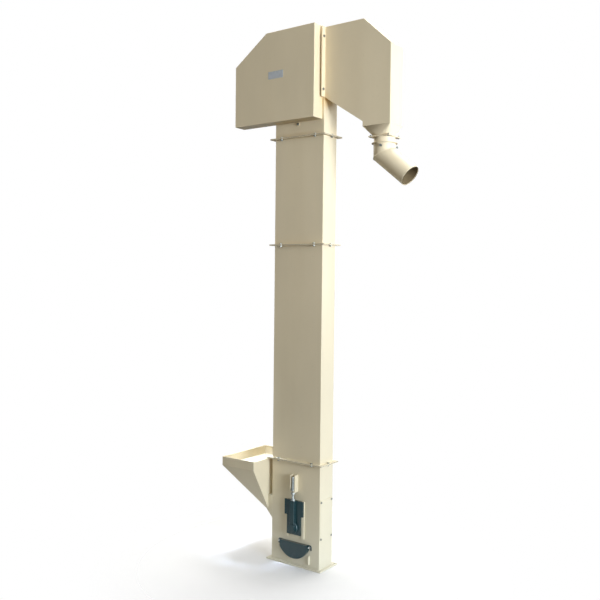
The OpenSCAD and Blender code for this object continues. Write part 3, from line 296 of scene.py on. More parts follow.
def enamel(name, base, rough, edge, dust=0.5, peel=0.12, shadow_patch=None, lumps=0.0, gloss=0.0):
    """Sprayed enamel on steel. Edge is the lighter tone of rubbed edges with a painted highlight, peel the
    strength of the orange peel, shadow_patch the centre, two radii and tone of a patch of painted shadow,
    lumps the coarse skin of a casting under the paint, and gloss the weight of a clear coat."""
    s = Shader(name)
    cloud = s.noise(2.1, 5, 0.55, (1, 1, 0.55))
    colour = weathered_and_shaded(s, sprayed(s, base, cloud), edge, dust, shadow_patch)
    s.join(colour, s.surface.inputs["Base Color"])
    s.join(s.ranged(cloud, 0.3, 0.7, rough - 0.05, rough + 0.08), s.surface.inputs["Roughness"])
    s.surface.inputs["Coat Weight"].default_value = gloss
    s.surface.inputs["Coat Roughness"].default_value = 0.08
    waves = s.noise(1.7, 2, 0.4, (1, 1, 0.5))
    pores = s.noise(520, 2, 0.5)
    layers = [(waves, 0.35, 0.012), (pores, peel, 0.0003)]
    if lumps:
        layers.append((s.noise(45, 3, 0.5), lumps, 0.003))
    s.bump(*layers)
    return s.material


def metal(name, base, rough, brush=(1, 1, 1), metallic=1.0, dirt=0.25):
    """Plated, machined or cast metal: a tone that drifts, a brushed or grainy finish, dull spots and oil.
    Brush is the stretch of the finish."""
    s = Shader(name)
    s.surface.inputs["Metallic"].default_value = metallic
    grain = s.noise(160, 4, 0.6, brush)
    spots = s.noise(38, 5, 0.6)
    colour = s.ramp(spots, (0.3, shade(base, 1 - dirt)), (0.55, base), (0.8, shade(base, 1.1)))
    colour = s.mix(s.grime_and_shade(), colour, OIL_TONE, "MULTIPLY")
    s.join(colour, s.surface.inputs["Base Color"])
    dullness = s.ranged(grain, 0.3, 0.7, max(0.05, rough - 0.1), rough + 0.12)
    s.join(dullness, s.surface.inputs["Roughness"])
    s.bump((grain, 0.2, 0.0004))
    return s.material


def rubber(name, base, scale=260):
    """Dull rubber or plastic with a grain of that scale."""
    s = Shader(name)
    colour = s.ramp(s.noise(14, 4, 0.6), (0.35, base), (0.8, shade(base, 2.0)))
    s.join(colour, s.surface.inputs["Base Color"])
    s.surface.inputs["Roughness"].default_value = 0.75
    s.bump((s.noise(scale, 4, 0.7), 0.25, 0.0005))
    return s.material


# Each paint has its own tone and the lighter tone of its edges: rubbed paint with a painted highlight
CREAM, CREAM_WORN_LIT_EDGE = (0.82, 0.68, 0.445), (0.86, 0.78, 0.58)
TEAL, TEAL_WORN_LIT_EDGE = (0.008, 0.040, 0.041), (0.07, 0.11, 0.11)
GREY, GREY_WORN_LIT_EDGE = (0.11, 0.16, 0.19), (0.24, 0.28, 0.30)
# A patch of painted shadow on the neck, under the hood: its centre, two radii and tone
NECK_SHADOW_PATCH = ((0.226, -0.062, 3.50), 0.02, 0.07, (1.0, 0.88, 0.68))
MATERIALS = {
    "cream_paint": enamel("cream_paint", CREAM, 0.40, CREAM_WORN_LIT_EDGE, shadow_patch=NECK_SHADOW_PATCH),
    "zinc_plate": metal("zinc_plate", (0.62, 0.62, 0.60), 0.36),
    "teal_paint": enamel("teal_paint", TEAL, 0.17, TEAL_WORN_LIT_EDGE, dust=0.03, peel=0.25, lumps=0.7, gloss=0.35),
    "machined_steel": metal("machined_steel", (0.58, 0.59, 0.61), 0.28, brush=(1, 1, 12)),
    "black_rubber": rubber("black_rubber", (0.018, 0.018, 0.018)),
    "motor_paint": enamel("motor_paint", GREY, 0.35, GREY_WORN_LIT_EDGE, dust=0.25, peel=0.25),
    "plain_label": metal("plain_label", (0.56, 0.56, 0.55), 0.42, brush=(1, 1, 20), metallic=0.25,
                         dirt=0.1),
    "cast_iron": metal("cast_iron", (0.20, 0.20, 0.21), 0.62, metallic=0.85),
    "pressed_steel": metal("pressed_steel", (0.62, 0.63, 0.64), 0.38, brush=(1, 12, 1)),
    "fan_plastic": rubber("fan_plastic", (0.03, 0.03, 0.034), 120),
}


# Places, in metres
def middle_of(node, axis):
    """The middle of a node's box along an axis, which is 0 for X and 2 for Z."""
    low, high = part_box(node)
    return (low[axis] + high[axis]) / 2


def foot_of(node):
    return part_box(node)[0][2]


def top_of(node):
    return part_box(node)[1][2]


SIDES = (-1, 1)
# The throat is as deep as the casing and ends at its wall
HALF_W, HALF_D = -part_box("hopper_throat")[1][0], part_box("hopper_throat")[1][1]
TAIL_Z, HEAD_Z = middle_of("tail_shaft", 2), middle_of("head_bearings", 2)
MOTOR_X, MOTOR_Z = middle_of("motor_shaft", 0), middle_of("motor_shaft", 2)
# The take-up's hub: its face, the radius of its wider foot and half the width of the ridge above it
HUB_FACE, HUB_FOOT_R, RIDGE_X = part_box("takeup_housings")[1][1], 0.044, 0.020
RAIL_X, BRACKET_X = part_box("takeup_rails")[1][0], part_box("takeup_brackets")[1][0]
LUG_X, LUG_Z = (0.130, 0.138), [top_of("base_frame") + up for up in (0.020, 0.086)]
FLANGE_T = 0.004
# The hopper's upright rim, and the narrow upright bands at both ends of its funnel
RIM_H, LIP = 0.068, 0.001
FUNNEL_X, FUNNEL_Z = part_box("hopper_throat")[0][0], foot_of("feed_hopper") + LIP
# The joint of head and hood starts at JOINT_Z. The hood's outlet is as wide as the transition under it
JOINT_Z = foot_of("head_casing") + 0.269
OUTLET_X = [corner[0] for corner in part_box("spout_transition")]
# The spout's bend is mitred halfway between the upright collar and the sloping pipe
SLOPE, COLLAR_H, PIPE_L, STUB_R = math.radians(39), 0.077, 0.267, 0.076
SPOUT_X = middle_of("spout_stub", 0)
COLLAR_R = SPOUT_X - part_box("spout_pipe")[0][0]
MITRE_Z = top_of("spout_collar") - COLLAR_H
MITRE_TILT = math.tan((math.radians(90) - SLOPE) / 2)
PIPE_AXIS = Vector((math.cos(SLOPE), 0, -math.sin(SLOPE)))
# Studs of the clean-out cover and rods of the take-ups
STUD_D, STUD_FLATS, STUD_PITCH, STUD_WASHER_T = 0.010, 0.017, 0.0015, 0.002
ROD_D, ROD_FLATS, ROD_PITCH = 0.020, 0.0289, 0.0025

# How each node is dressed
SHEET = ("boot_casing", "trunk_lower", "trunk_upper", "head_casing", "discharge_hood", "drive_guard",
         "feed_hopper")
BOLTS = ("flange_bolts", "side_panel_bolts", "outlet_bolts", "elbow_screws", "guard_screws",
         "head_bearing_bolts", "motor_bolts")
ROD_NUTS = ("takeup_nuts", "takeup_lock_nuts")
BUILT = BOLTS + ROD_NUTS + ("cleanout_nuts", "takeup_rods", "cleanout_studs", "head_bearings",
                            "head_inserts")
# Rounding of edges, in metres
EDGE_R, FOLD_R = 0.0006, 0.004
CASTINGS = {"takeup_housings": 0.003, "motor_end_covers": 0.003, "motor_body": 0.0012,
            "head_sheave": 0.0015, "motor_sheave": 0.0015, "cleanout_cover": 0.0018}
# Grime, from 0 to 1
BOLT_GRIME, NUT_GRIME, ROD_GRIME = 0.8, 0.6, 0.15


def pipe_inner_shade(point):
    """1 inside the spout's pipe, where painted shade darkens it, and 0 on its outside."""
    from_bend = point - Vector((SPOUT_X, 0, MITRE_Z))
    from_axis = from_bend - PIPE_AXIS * from_bend.dot(PIPE_AXIS)
    return 1.0 if from_axis.length < COLLAR_R - 0.001 else 0.0


def on_ridge(point):
    """On the front corners of the ridge that holds the take-up's rod."""
    return abs(abs(point.x) - RIDGE_X) < 0.0005 and abs(point.y) > 0.130 and point.z > TAIL_Z + 0.01


def on_hub_foot(point):
    """On the front edge of the hub's wider foot."""
    return abs(math.hypot(point.x, point.z - TAIL_Z) - HUB_FOOT_R) < 0.0006 and abs(point.y) > 0.1205


# Painted shade inside the spout's pipe
INNER_SHADE = {"spout_pipe": pipe_inner_shade}
# Corners with a radius of their own: the radius, and the test that finds them
CORNERS = {"takeup_housings": ((0.017, on_ridge), (0.006, on_hub_foot))}


# Meshes
def piece(name, bm, slot, body, sharp=30):
    """Turn a BMesh into an object that wears a slot's material and rides on a body."""
    bmesh.ops.remove_doubles(bm, verts=bm.verts, dist=1e-6)
    bmesh.ops.recalc_face_normals(bm, faces=bm.faces)
    mesh = bpy.data.meshes.new(name)
    bm.to_mesh(mesh)
    bm.free()
    mesh.shade_smooth()
    mesh.set_sharp_from_angle(angle=math.radians(sharp))
    mesh.materials.append(MATERIALS[slot])
    item = bpy.data.objects.new(name, mesh)
    scene.collection.objects.link(item)
    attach(item, body)
    return item


def body_of(node):
    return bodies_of(nodes[node])[0]


def stand_in(node, bm, sharp=30):
    """A piece built in code that stands for a CAD node, in its slot and on its body."""
    item = piece("dressed_" + node, bm, slot_of[node], body_of(node), sharp)
    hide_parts(node)
    return item


def set_grime_and_shade(item, amount):
    """Give each point of a piece its grime, on fasteners, and its painted shade, inside the spout's pipe,
    by a function of the point.
    """
    layer = item.data.attributes.new("grime_and_shade", "FLOAT", "POINT")
    for value, vertex in zip(layer.data, item.data.vertices):
        value.value = amount(vertex.co)


def cad_mesh(node):
    """A copy of a CAD node's mesh, with the triangles of each flat face merged."""
    bm = bmesh.new()
    bm.from_mesh(nodes[node].data)
    bmesh.ops.remove_doubles(bm, verts=bm.verts, dist=2e-6)
    bmesh.ops.dissolve_limit(bm, angle_limit=math.radians(0.5), verts=bm.verts, edges=bm.edges)
    return bm


def round_edges(bm, edges, radius, steps):
    bmesh.ops.bevel(bm, geom=edges, offset=radius, segments=steps, profile=0.5, affect="EDGES",
                    clamp_overlap=True)


# A fold is an edge this long and this sharp, between walls this broad
FOLD_LENGTH, FOLD_TURN, FOLD_WALL = 0.06, math.radians(25), 0.03


def is_fold(edge):
    """Whether an edge is a long outer corner between two broad walls, as a folded sheet has them."""
    if len(edge.link_faces) != 2 or edge.calc_length() <= FOLD_LENGTH or not edge.is_convex:
        return False
    narrower = min(face.calc_area() / edge.calc_length() for face in edge.link_faces)
    return edge.calc_face_angle() > FOLD_TURN and narrower > FOLD_WALL


def dressed(node):
    """A copy of a CAD node with its folds, corners and edges rounded, which stands for the node."""
    bm = cad_mesh(node)
    if node in SHEET:
        round_edges(bm, [e for e in bm.edges if is_fold(e)], FOLD_R, 4)
    for radius, test in CORNERS.get(node, ()):
        chosen = [e for e in bm.edges if test(e.verts[0].co) and test(e.verts[1].co) and e.is_convex]
        round_edges(bm, chosen, radius, 6)
    item = stand_in(node, bm, 180)
    bevel = item.modifiers.new("bevel", "BEVEL")
    bevel.width = CASTINGS.get(node, EDGE_R)
    bevel.segments = 3 if node in CASTINGS else 2
    bevel.limit_method = "ANGLE"
    bevel.angle_limit = math.radians(28)
    item.modifiers.new("flat_faces", "WEIGHTED_NORMAL").weight = 100
    return item


def around(radius, turn, z):
    """The point at a radius, an angle and a height around the Z axis."""
    return Vector((radius * math.cos(turn), radius * math.sin(turn), z))


def revolve(bm, place, profile, sides=24):
    """Turn a closed profile around the local Z axis. The profile is a function that gives pairs of a
    radius and a height for an angle."""
    rings = []
    for i in range(sides):
        turn = 2 * math.pi * i / sides
        rings.append([bm.verts.new(place @ around(r, turn, z)) for r, z in profile(turn)])
    count = len(rings[0])
    for near, far in zip(rings, rings[1:] + rings[:1]):
        for j in range(count):
            k = (j + 1) % count
            bm.faces.new((near[j], far[j], far[k], near[k]))


def turned(bm, place, points, sides=24):
    """Turn a closed line around the local Z axis. Its points are pairs of a radius and a height."""
    revolve(bm, place, lambda turn: points, sides)


def aimed(point, direction):
    """A frame at a point with Z along a direction."""
    return Matrix.Translation(point) @ Vector(direction).to_track_quat("Z", "Y").to_matrix().to_4x4()


# Fasteners, in shares of their diameter: across flats, washer's thickness and radius, thread's pitch
FLATS, WASHER_T, WASHER_R, THREAD_PITCH = 1.7, 0.16, 1.04, 0.15
# The chamfer starts at this share of the width across flats, and the thread is this share of its pitch deep
CHAMFER_R, THREAD_DEPTH = 0.475, 0.55


def hexagon(flats, low, high, hole, cut_low=True):
    """The profile of a nut or bolt head with chamfered corners."""
    inner = CHAMFER_R * flats

    def profile(turn):
        outer = flats / 2 / math.cos(turn % (math.pi / 3) - math.pi / 6)
        drop = (outer - inner) * math.tan(math.radians(30))
        foot = [(inner, low), (outer, low + drop)] if cut_low else [(outer, low)]
        return [(hole, low)] + foot + [(outer, high - drop), (inner, high), (hole, high)]
    return profile


def washer(bm, place, d, low, high):
    edge = 0.2 * (high - low)
    r = WASHER_R * d
    turned(bm, place, ((d / 2, low), (r - edge, low), (r, low + edge), (r, high - edge), (r - edge, high),
                       (d / 2, high)))


def thread(bm, place, radius, low, high, pitch, sides=16):
    """A screw thread: one crest line and one root line that wind up together, around a core."""
    deep = THREAD_DEPTH * pitch
    inner = radius - deep
    turns = max(1, int((high - low) / pitch))
    crest, root = [], []
    for i in range(turns * sides + 1):
        turn = 2 * math.pi * i / sides
        z = low + pitch * i / sides
        crest.append(bm.verts.new(place @ around(radius, turn, z)))
        root.append(bm.verts.new(place @ around(inner, turn, min(high, z + pitch / 2))))
    for i in range(turns * sides):
        bm.faces.new((crest[i], crest[i + 1], root[i + 1], root[i]))
        if i + sides + 1 < len(crest):
            bm.faces.new((root[i], root[i + 1], crest[i + sides + 1], crest[i + sides]))
    turned(bm, place, ((0, low), (radius - 0.6 * deep, low), (inner, low + deep / 2), (inner, high),
                       (0, high)), sides)


def islands(bm):
    """The vertices of each loose solid in a mesh."""
    left = set(bm.verts)
    groups = []
    for start in list(bm.verts):
        if start not in left:
            continue
        group, front = [], [start]
        left.discard(start)
        while front:
            v = front.pop()
            group.append(v)
            for e in v.link_edges:
                other = e.other_vert(v)
                if other in left:
                    left.discard(other)
                    front.append(other)
        groups.append(group)
    return groups


def bolt_places(node):
    """For each bolt of a node: a frame on its head with Z outwards, its diameter, the heights of its
    hexagons' faces from the head down and the height of its end."""
    bm = cad_mesh(node)
    places = []
    for group in islands(bm):
        faces = {f for v in group for f in v.link_faces}
        head = max(faces, key=lambda f: f.calc_area())
        d = math.sqrt(head.calc_area() / (FLATS * FLATS * math.sin(math.radians(60))))
        centre = head.calc_center_median()
        z = head.normal.copy()
        corner = max(head.verts, key=lambda v: (v.co - centre).length).co - centre
        x = (corner - z * corner.dot(z)).normalized()
        place = Matrix.Translation(centre) @ Matrix((x, z.cross(x), z)).transposed().to_4x4()
        back = place.inverted()
        local = [back @ v.co for v in group]
        steps = {round(p.z, 5) for p in local if math.hypot(p.x, p.y) > FLATS / 2 * d}
        steps = sorted(steps, reverse=True)
        places.append((place, d, steps, min(p.z for p in local)))
    bm.free()
    return places


def dressed_bolts(node):
    """Chamfered heads and nuts on washers, with a thread where the shank's end shows."""
    bm = bmesh.new()
    for place, d, steps, end in bolt_places(node):
        top = steps[1]
        seat = top + WASHER_T * d
        revolve(bm, place, hexagon(FLATS * d, seat, 0, 0, cut_low=False))
        washer(bm, place, d, top, seat)
        if len(steps) > 3:
            nut_top, nut_low = steps[2] - WASHER_T * d, steps[3]
            washer(bm, place, d, nut_top, steps[2])
            revolve(bm, place, hexagon(FLATS * d, nut_low, nut_top, d / 2))
            turned(bm, place, ((0, nut_low), (d / 2, nut_low), (d / 2, top), (0, top)), 16)
            top = nut_low
        thread(bm, place, d / 2, end, top, THREAD_PITCH * d)
    set_grime_and_shade(stand_in(node, bm), lambda point: BOLT_GRIME)


def dressed_nuts(node, d, flats, turn=Matrix(), washer_t=0.0):
    """Nuts that stand along Z, or along the way that turn gives, with a washer of that thickness."""
    bm = bmesh.new()
    source = cad_mesh(node)
    for group in islands(source):
        points = [turn.inverted() @ v.co for v in group]
        centre = sum(points, Vector()) / len(points)
        low, high = min(p.z for p in points), max(p.z for p in points)
        place = turn @ Matrix.Translation((centre.x, centre.y, low))
        if washer_t:
            washer(bm, place, 0.96 * d, 0, washer_t)
        revolve(bm, place, hexagon(flats, washer_t, high - low, d / 2))
    source.free()
    set_grime_and_shade(stand_in(node, bm), lambda point: NUT_GRIME)


# Weld beads, with radii in metres
FINE, SEAM, MITRE, STITCH, FOOT = 0.0015, 0.0018, 0.0020, 0.0025, 0.003
BEAD_SIDES = 6
FLANGED = (("boot_casing", False, True), ("trunk_lower", True, True), ("trunk_upper", True, True),
           ("head_casing", True, False))


def spots_along(points, closed, step):
    """Places a step apart along a line of points, each with the way the line runs there."""
    line = [Vector(p) for p in points]
    if closed:
        line.append(line[0])
    spots = []
    for a, b in zip(line, line[1:]):
        count = max(1, round((b - a).length / step))
        spots += [(a.lerp(b, i / count), (b - a).normalized()) for i in range(count)]
    if not closed:
        spots.append((line[-1], (line[-1] - line[-2]).normalized()))
    return spots


def crosswise(along):
    """A way square to another one, and level unless that one is steep."""
    if abs(along.z) > 0.9:
        return along.orthogonal().normalized()
    return along.cross(Vector((0, 0, 1))).normalized()


def bead(bm, points, radius=SEAM, closed=False, ripple=0.16, step=0.008):
    """A rippled bead laid along a line of points."""
    rings = []
    for i, (p, along) in enumerate(spots_along(points, closed, step)):
        side = crosswise(along)
        up = side.cross(along)
        r = radius * (1 + ripple * (1 if i % 2 else -1))
        turns = [2 * math.pi * k / BEAD_SIDES for k in range(BEAD_SIDES)]
        rings.append([bm.verts.new(p + side * r * math.cos(t) + up * r * math.sin(t)) for t in turns])
    pairs = list(zip(rings, rings[1:]))
    if closed:
        pairs.append((rings[-1], rings[0]))
    for a, b in pairs:
        for k in range(BEAD_SIDES):
            m = (k + 1) % BEAD_SIDES
            bm.faces.new((a[k], a[m], b[m], b[k]))
    if not closed:
        bm.faces.new(list(reversed(rings[0])))
        bm.faces.new(rings[-1])


def upright(bm, x, y, low, high, radius):
    """A straight bead that stands at x and y."""
    bead(bm, [(x, y, low), (x, y, high)], radius)


def rectangle(x0, x1, y, z):
    return [(x0, -y, z), (x1, -y, z), (x1, y, z), (x0, y, z)]


def circle(x, r, z, tilt=0.0):
    """Points around the spout's axis. Tilt is how much they rise per metre along X, as on a mitre."""
    count = 60
    turns = [2 * math.pi * i / count for i in range(count)]
    return [(x + r * math.cos(t), r * math.sin(t), z + tilt * r * math.cos(t)) for t in turns]


def weld_sections(bm):
    """Around the boot's foot and along the flanges of the sections."""
    bead(bm, rectangle(-HALF_W, HALF_W, HALF_D, top_of("base_frame")), FOOT, closed=True)
    for node, low, top in FLANGED:
        levels = ([foot_of(node) + FLANGE_T] if low else []) + ([top_of(node) - FLANGE_T] if top else [])
        for z in levels:
            bead(bm, rectangle(-HALF_W, HALF_W, HALF_D, z), closed=True)


def weld_outlet(bm):
    """Around the hood's outlet and at both ends of the stub."""
    bead(bm, rectangle(*OUTLET_X, HALF_D, foot_of("discharge_hood")), FINE, closed=True)
    for z in (top_of("outlet_flange"), top_of("spout_stub") - FLANGE_T):
        bead(bm, circle(SPOUT_X, STUB_R, z), closed=True)


def weld_hopper(bm):
    """Where the throat meets the boot, and down the corners of the funnel."""
    for z in (foot_of("hopper_throat"), top_of("hopper_throat")):
        bead(bm, [(-HALF_W, -HALF_D, z), (-HALF_W, HALF_D, z)])
    low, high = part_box("feed_hopper")
    inset = 0.002
    for s in SIDES:
        for top_x, low_x in ((low[0] + inset, FUNNEL_X), (high[0] - inset, high[0])):
            top = (top_x, s * (high[1] - inset), high[2] - RIM_H - LIP)
            bead(bm, [top, (low_x, s * HALF_D, FUNNEL_Z)], FINE)


def weld_fittings(bm):
    """At the joint of head and hood, and stitches at the rails, the brackets, the lug and the motor's
    bracket."""
    for s in SIDES:
        for x in (HALF_W - FLANGE_T, HALF_W + FLANGE_T):
            upright(bm, x, s * HALF_D, JOINT_Z, top_of("head_casing"), FINE)
    rail_z, bracket_z, stitch_l = (0.225, 0.345, 0.465), (0.575, 0.655), 0.03
    for x, z in [(RAIL_X, z) for z in rail_z] + [(BRACKET_X, z) for z in bracket_z]:
        for side_x in SIDES:
            for side_y in SIDES:
                upright(bm, side_x * x, side_y * HALF_D, z, z + stitch_l, STITCH)
    for x in LUG_X:
        upright(bm, x, -HALF_D, *LUG_Z, STITCH)
    wall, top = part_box("motor_bracket")[1][0] - FLANGE_T, top_of("motor_bracket")
    bracket_y = ((-0.070, -0.020), (0.035, 0.085))
    for y0, y1 in bracket_y:
        bead(bm, [(wall, y0, top), (wall, y1, top)], STITCH)


def add_casing_welds():
    bm = bmesh.new()
    weld_sections(bm)
    weld_outlet(bm)
    weld_hopper(bm)
    weld_fittings(bm)
    piece("casing_welds", bm, "cream_paint", "casing", 60)


def add_elbow_welds():
    bm = bmesh.new()
    bead(bm, circle(SPOUT_X, COLLAR_R, top_of("spout_collar") - FLANGE_T), closed=True)
    bead(bm, circle(SPOUT_X, COLLAR_R, MITRE_Z, MITRE_TILT), MITRE, closed=True)
    piece("elbow_welds", bm, "cream_paint", "elbow", 60)


def add_mouth_rim():
    """The rolled edge at the spout's mouth."""
    bm = bmesh.new()
    roll_r, inwards, back = 0.0020, 0.0012, 0.004
    turns = [math.pi * k / 4 for k in range(8)]
    roll = [(COLLAR_R - inwards + roll_r * math.cos(t), roll_r * math.sin(t)) for t in turns]
    mouth = Vector((SPOUT_X, 0, MITRE_Z)) + PIPE_AXIS * (PIPE_L - back)
    turned(bm, aimed(mouth, PIPE_AXIS), roll, 72)
    piece("mouth_rim", bm, "cream_paint", "elbow", 60)


def add_hopper_hem():
    """The hemmed edge of the hopper's rim."""
    bm = bmesh.new()
    low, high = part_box("feed_hopper")
    r = 0.0032
    hem = rectangle(low[0] + r, high[0] - r, high[1] - r, high[2] - r)
    bead(bm, hem, r, closed=True, ripple=0, step=0.05)
    piece("hopper_hem", bm, "cream_paint", "casing", 60)


# Small parts
def add_rod_threads():
    """The threaded rods of the take-ups, with a plain tip."""
    bm = bmesh.new()
    low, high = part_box("takeup_rods")
    r, rod_y, top = high[0], high[1] - high[0], high[2]
    neck = top - 0.004
    tip = ((0, neck), (0.9 * r, neck), (0.9 * r, top - 0.002), (0.75 * r, top), (0, top))
    for s in SIDES:
        place = Matrix.Translation((0, s * rod_y, 0))
        thread(bm, place, r, low[2], top - 0.003, ROD_PITCH, 20)
        turned(bm, place, tip, 20)
    set_grime_and_shade(stand_in("takeup_rods", bm), lambda point: ROD_GRIME)


def add_stud_threads():
    """The threaded studs of the clean-out cover."""
    bm = bmesh.new()
    low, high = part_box("cleanout_studs")
    for s in SIDES:
        foot = (s * (high[0] - STUD_D / 2), high[1], (low[2] + high[2]) / 2)
        thread(bm, aimed(foot, (0, -1, 0)), STUD_D / 2, 0, high[1] - low[1], STUD_PITCH)
    stand_in("cleanout_studs", bm)


# Turned profiles, as pairs of a radius and a height in metres
NIPPLE = ((0, 0.003), (0.0021, 0.003), (0.0019, 0.006), (0.0028, 0.0072), (0.0026, 0.0086),
          (0.0013, 0.0096), (0, 0.0098))
PLATE_BORE = (0.0345, 0)
HOUSING = ((0.0520, 0.0125), (0.0485, 0.0155), (0.0460, 0.021), (0.0445, 0.031), (0.0432, 0.0347),
           (0.0410, 0.036), (0.0345, 0.036))
BOSS = ((0.0055, 0.001), (0.0140, 0.001), (0.0132, 0.0130), (0.0122, 0.014), (0.0055, 0.014))
INSERT = ((0.0226, 0), (0.0344, 0), (0.0344, 0.0370), (0.0334, 0.0380), (0.0318, 0.0380),
          (0.0318, 0.0360), (0.0272, 0.0360), (0.0272, 0.0392), (0.0264, 0.0400), (0.0226, 0.0400))
SEAL = ((0.0273, 0.0350), (0.0317, 0.0350), (0.0317, 0.0366), (0.0295, 0.0372), (0.0273, 0.0366))
GLAND = ((0, 0.007), (0.0100, 0.007), (0.0100, 0.016), (0.0085, 0.0185), (0, 0.0190))


def nipple(bm, point, direction):
    """A grease nipple: a hexagon foot, a neck and a ball."""
    place = aimed(point, direction)
    revolve(bm, place, hexagon(0.007, -0.002, 0.003, 0))
    turned(bm, place, NIPPLE, 16)


def pan_screw(bm, point, direction, r=0.0035):
    """The domed head of a small screw or a rivet."""
    dome = ((0, -0.001), (r, -0.001), (r, 0.25 * r), (0.8 * r, 0.6 * r), (0.4 * r, 0.8 * r), (0, 0.8 * r))
    turned(bm, aimed(point, direction), dome, 16)


def bearing_casting(turn):
    """The profile of a square plate with rounded corners that flows into a round housing."""
    half, roundness = 0.059, 9
    reach = abs(math.cos(turn)) ** roundness + abs(math.sin(turn)) ** roundness
    side = half / reach ** (1 / roundness)
    plate = (PLATE_BORE, (side, 0), (side, 0.009), (side - 0.0012, 0.0108), (side - 0.003, 0.0115))
    return plate + HOUSING


def add_bearings():
    """Flanged head bearings: castings with bolt bosses, inserts, seals and grease nipples."""
    boss = 0.045
    nipple_x, nipple_y = 0.0312, HALF_D + 0.027
    housings, inserts, seals, nipples = (bmesh.new() for _ in range(4))
    for s in SIDES:
        place = aimed((0, s * HALF_D, HEAD_Z), (0, s, 0))
        revolve(housings, place, bearing_casting, 96)
        for x in (-boss, boss):
            for y in (-boss, boss):
                turned(housings, place @ Matrix.Translation((x, y, 0)), BOSS)
        turned(inserts, place, INSERT, 64)
        turned(seals, place, SEAL, 48)
        nipple(nipples, (nipple_x, s * nipple_y, HEAD_Z + nipple_x), (1, 0, 1))
    stand_in("head_bearings", housings)
    stand_in("head_inserts", inserts)
    piece("bearing_seals", seals, "black_rubber", "casing")
    piece("grease_nipples", nipples, "zinc_plate", "casing")


def add_hubs():
    """Cap screws and a grease nipple on each take-up hub."""
    bm = bmesh.new()
    ring_r, nipple_x, nipple_back = 0.021, 0.0224, 0.006
    for s in SIDES:
        for turn in (90, 210, 330):
            x, z = ring_r * math.cos(math.radians(turn)), ring_r * math.sin(math.radians(turn))
            place = aimed((x, s * HUB_FACE, TAIL_Z + z), (0, s, 0))
            revolve(bm, place, hexagon(0.010, -0.001, 0.003, 0))
        nipple(bm, (nipple_x, s * (HUB_FACE - nipple_back), TAIL_Z + nipple_x), (1, 0, 1))
    piece("hub_fittings", bm, "teal_paint", "takeup")


def add_label_rivets():
    bm = bmesh.new()
    low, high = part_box("label_plate")
    inset = 0.006
    for x in (low[0] + inset, high[0] - inset):
        for z in (low[2] + inset, high[2] - inset):
            pan_screw(bm, (x, low[1], z), (0, -1, 0), 0.0025)
    piece("label_rivets", bm, "machined_steel", "casing")


# How far the lid of the motor's terminal box stands out from the box, and its thickness
LID_MARGIN, LID_T = 0.0015, 0.012


def add_terminal_box(low, high):
    """The lid of the terminal box, which lies between two corners, and a closed cable gland."""
    bm = bmesh.new()
    bmesh.ops.create_cube(bm, size=1)
    size = Vector((high.x - low.x + 2 * LID_MARGIN, high.y - low.y + 2 * LID_MARGIN, LID_T))
    middle = Vector(((low.x + high.x) / 2, (low.y + high.y) / 2, high.z - LID_T / 2 + LID_MARGIN))
    for v in bm.verts:
        v.co = middle + Vector(v.co[i] * size[i] for i in range(3))
    bmesh.ops.bevel(bm, geom=list(bm.edges), offset=0.003, segments=3, profile=0.5, affect="EDGES")
    gland = aimed((low.x, middle.y, (low.z + high.z) / 2 - 0.006), (-1, 0, 0))
    revolve(bm, gland, hexagon(0.024, -0.001, 0.007, 0))
    turned(bm, gland, GLAND)
    piece("motor_fittings", bm, "motor_paint", "casing")


def add_motor_screws(low, high):
    """The screws of the terminal box, which lies between two corners, and of the fan cowl."""
    bm = bmesh.new()
    inset, from_end = 0.008, 0.005
    for x in (low.x + inset, high.x - inset):
        for y in (low.y + inset, high.y - inset):
            pan_screw(bm, (x, y, high.z + LID_MARGIN), (0, 0, 1))
    cowl_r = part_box("motor_fan_cowl")[1][0] - MOTOR_X
    cowl_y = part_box("motor_fan_cowl")[0][1] + from_end
    for turn in (30, 150, 270):
        way = Vector((math.cos(math.radians(turn)), 0, math.sin(math.radians(turn))))
        pan_screw(bm, Vector((MOTOR_X, cowl_y, MOTOR_Z)) + way * cowl_r, way)
    piece("motor_screws", bm, "zinc_plate", "casing")


def add_motor_fittings():
    low, high = (Vector(corner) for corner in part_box("motor_terminal_box"))
    add_terminal_box(low, high)
    add_motor_screws(low, high)


# Stage and light, in metres, watts and degrees
FLOOR_R, FLOOR_Z = 5.0, -0.0005
FLOOR_TONES = ((0.3, (0.73, 0.73, 0.73)), (0.7, (0.76, 0.76, 0.76)))
# The floor is solid within the first of these distances from the part's middle and gone beyond the second
FLOOR_FADE = (0.45, 1.6)
DAY, NEUTRAL, SKY = (0.91, 1.02, 1.20), (1.0, 0.99, 0.96), (0.84, 1.02, 1.35)
# Each light has a name, a place, a target, a width and height, a power, a colour and a spread
LIGHTS = (
    ("key", (8.0, -2.3, 2.4), (0, 0, 2.2), (3.0, 3.4), 665, DAY, 180),
    ("head_front", (5.0, -1.5, 2.0), (0.3, 0, 3.6), (1.6, 0.8), 5, DAY, 50),
    ("head_back", (5.0, 1.2, 2.0), (0.3, 0, 3.6), (1.6, 0.8), 2.5, DAY, 50),
    ("above", (-0.2, 1.8, 8.0), (0, 0, 0), (4, 4), 430, NEUTRAL, 180),
    ("over_hopper", (-0.50, -0.12, 2.2), (-0.46, 0.06, 0.7), (0.3, 0.3), 2.3, SKY, 28),
    ("back", (-1.0, 6.5, 4.0), (0, 0, 2), (4, 4), 170, NEUTRAL, 180),
    ("left", (-6.0, 1.5, 3.5), (0, 0, 2), (3, 3), 150, NEUTRAL, 180),
)
# The surroundings as each kind of ray sees them: an axis, a colour, and the strength towards the lower and
# the upper end of the axis. The strength changes within BLEND to each side of the middle
SURROUNDINGS = (
    ("Is Diffuse Ray", "Z", (1.0, 0.95, 0.85), 0.05, 0.42),
    ("Is Glossy Ray", "X", (0.78, 0.91, 1.0), 0.45, 2.4),
    ("Is Camera Ray", "Z", WHITE, 1.0, 1.0),
)
BLEND = 0.15


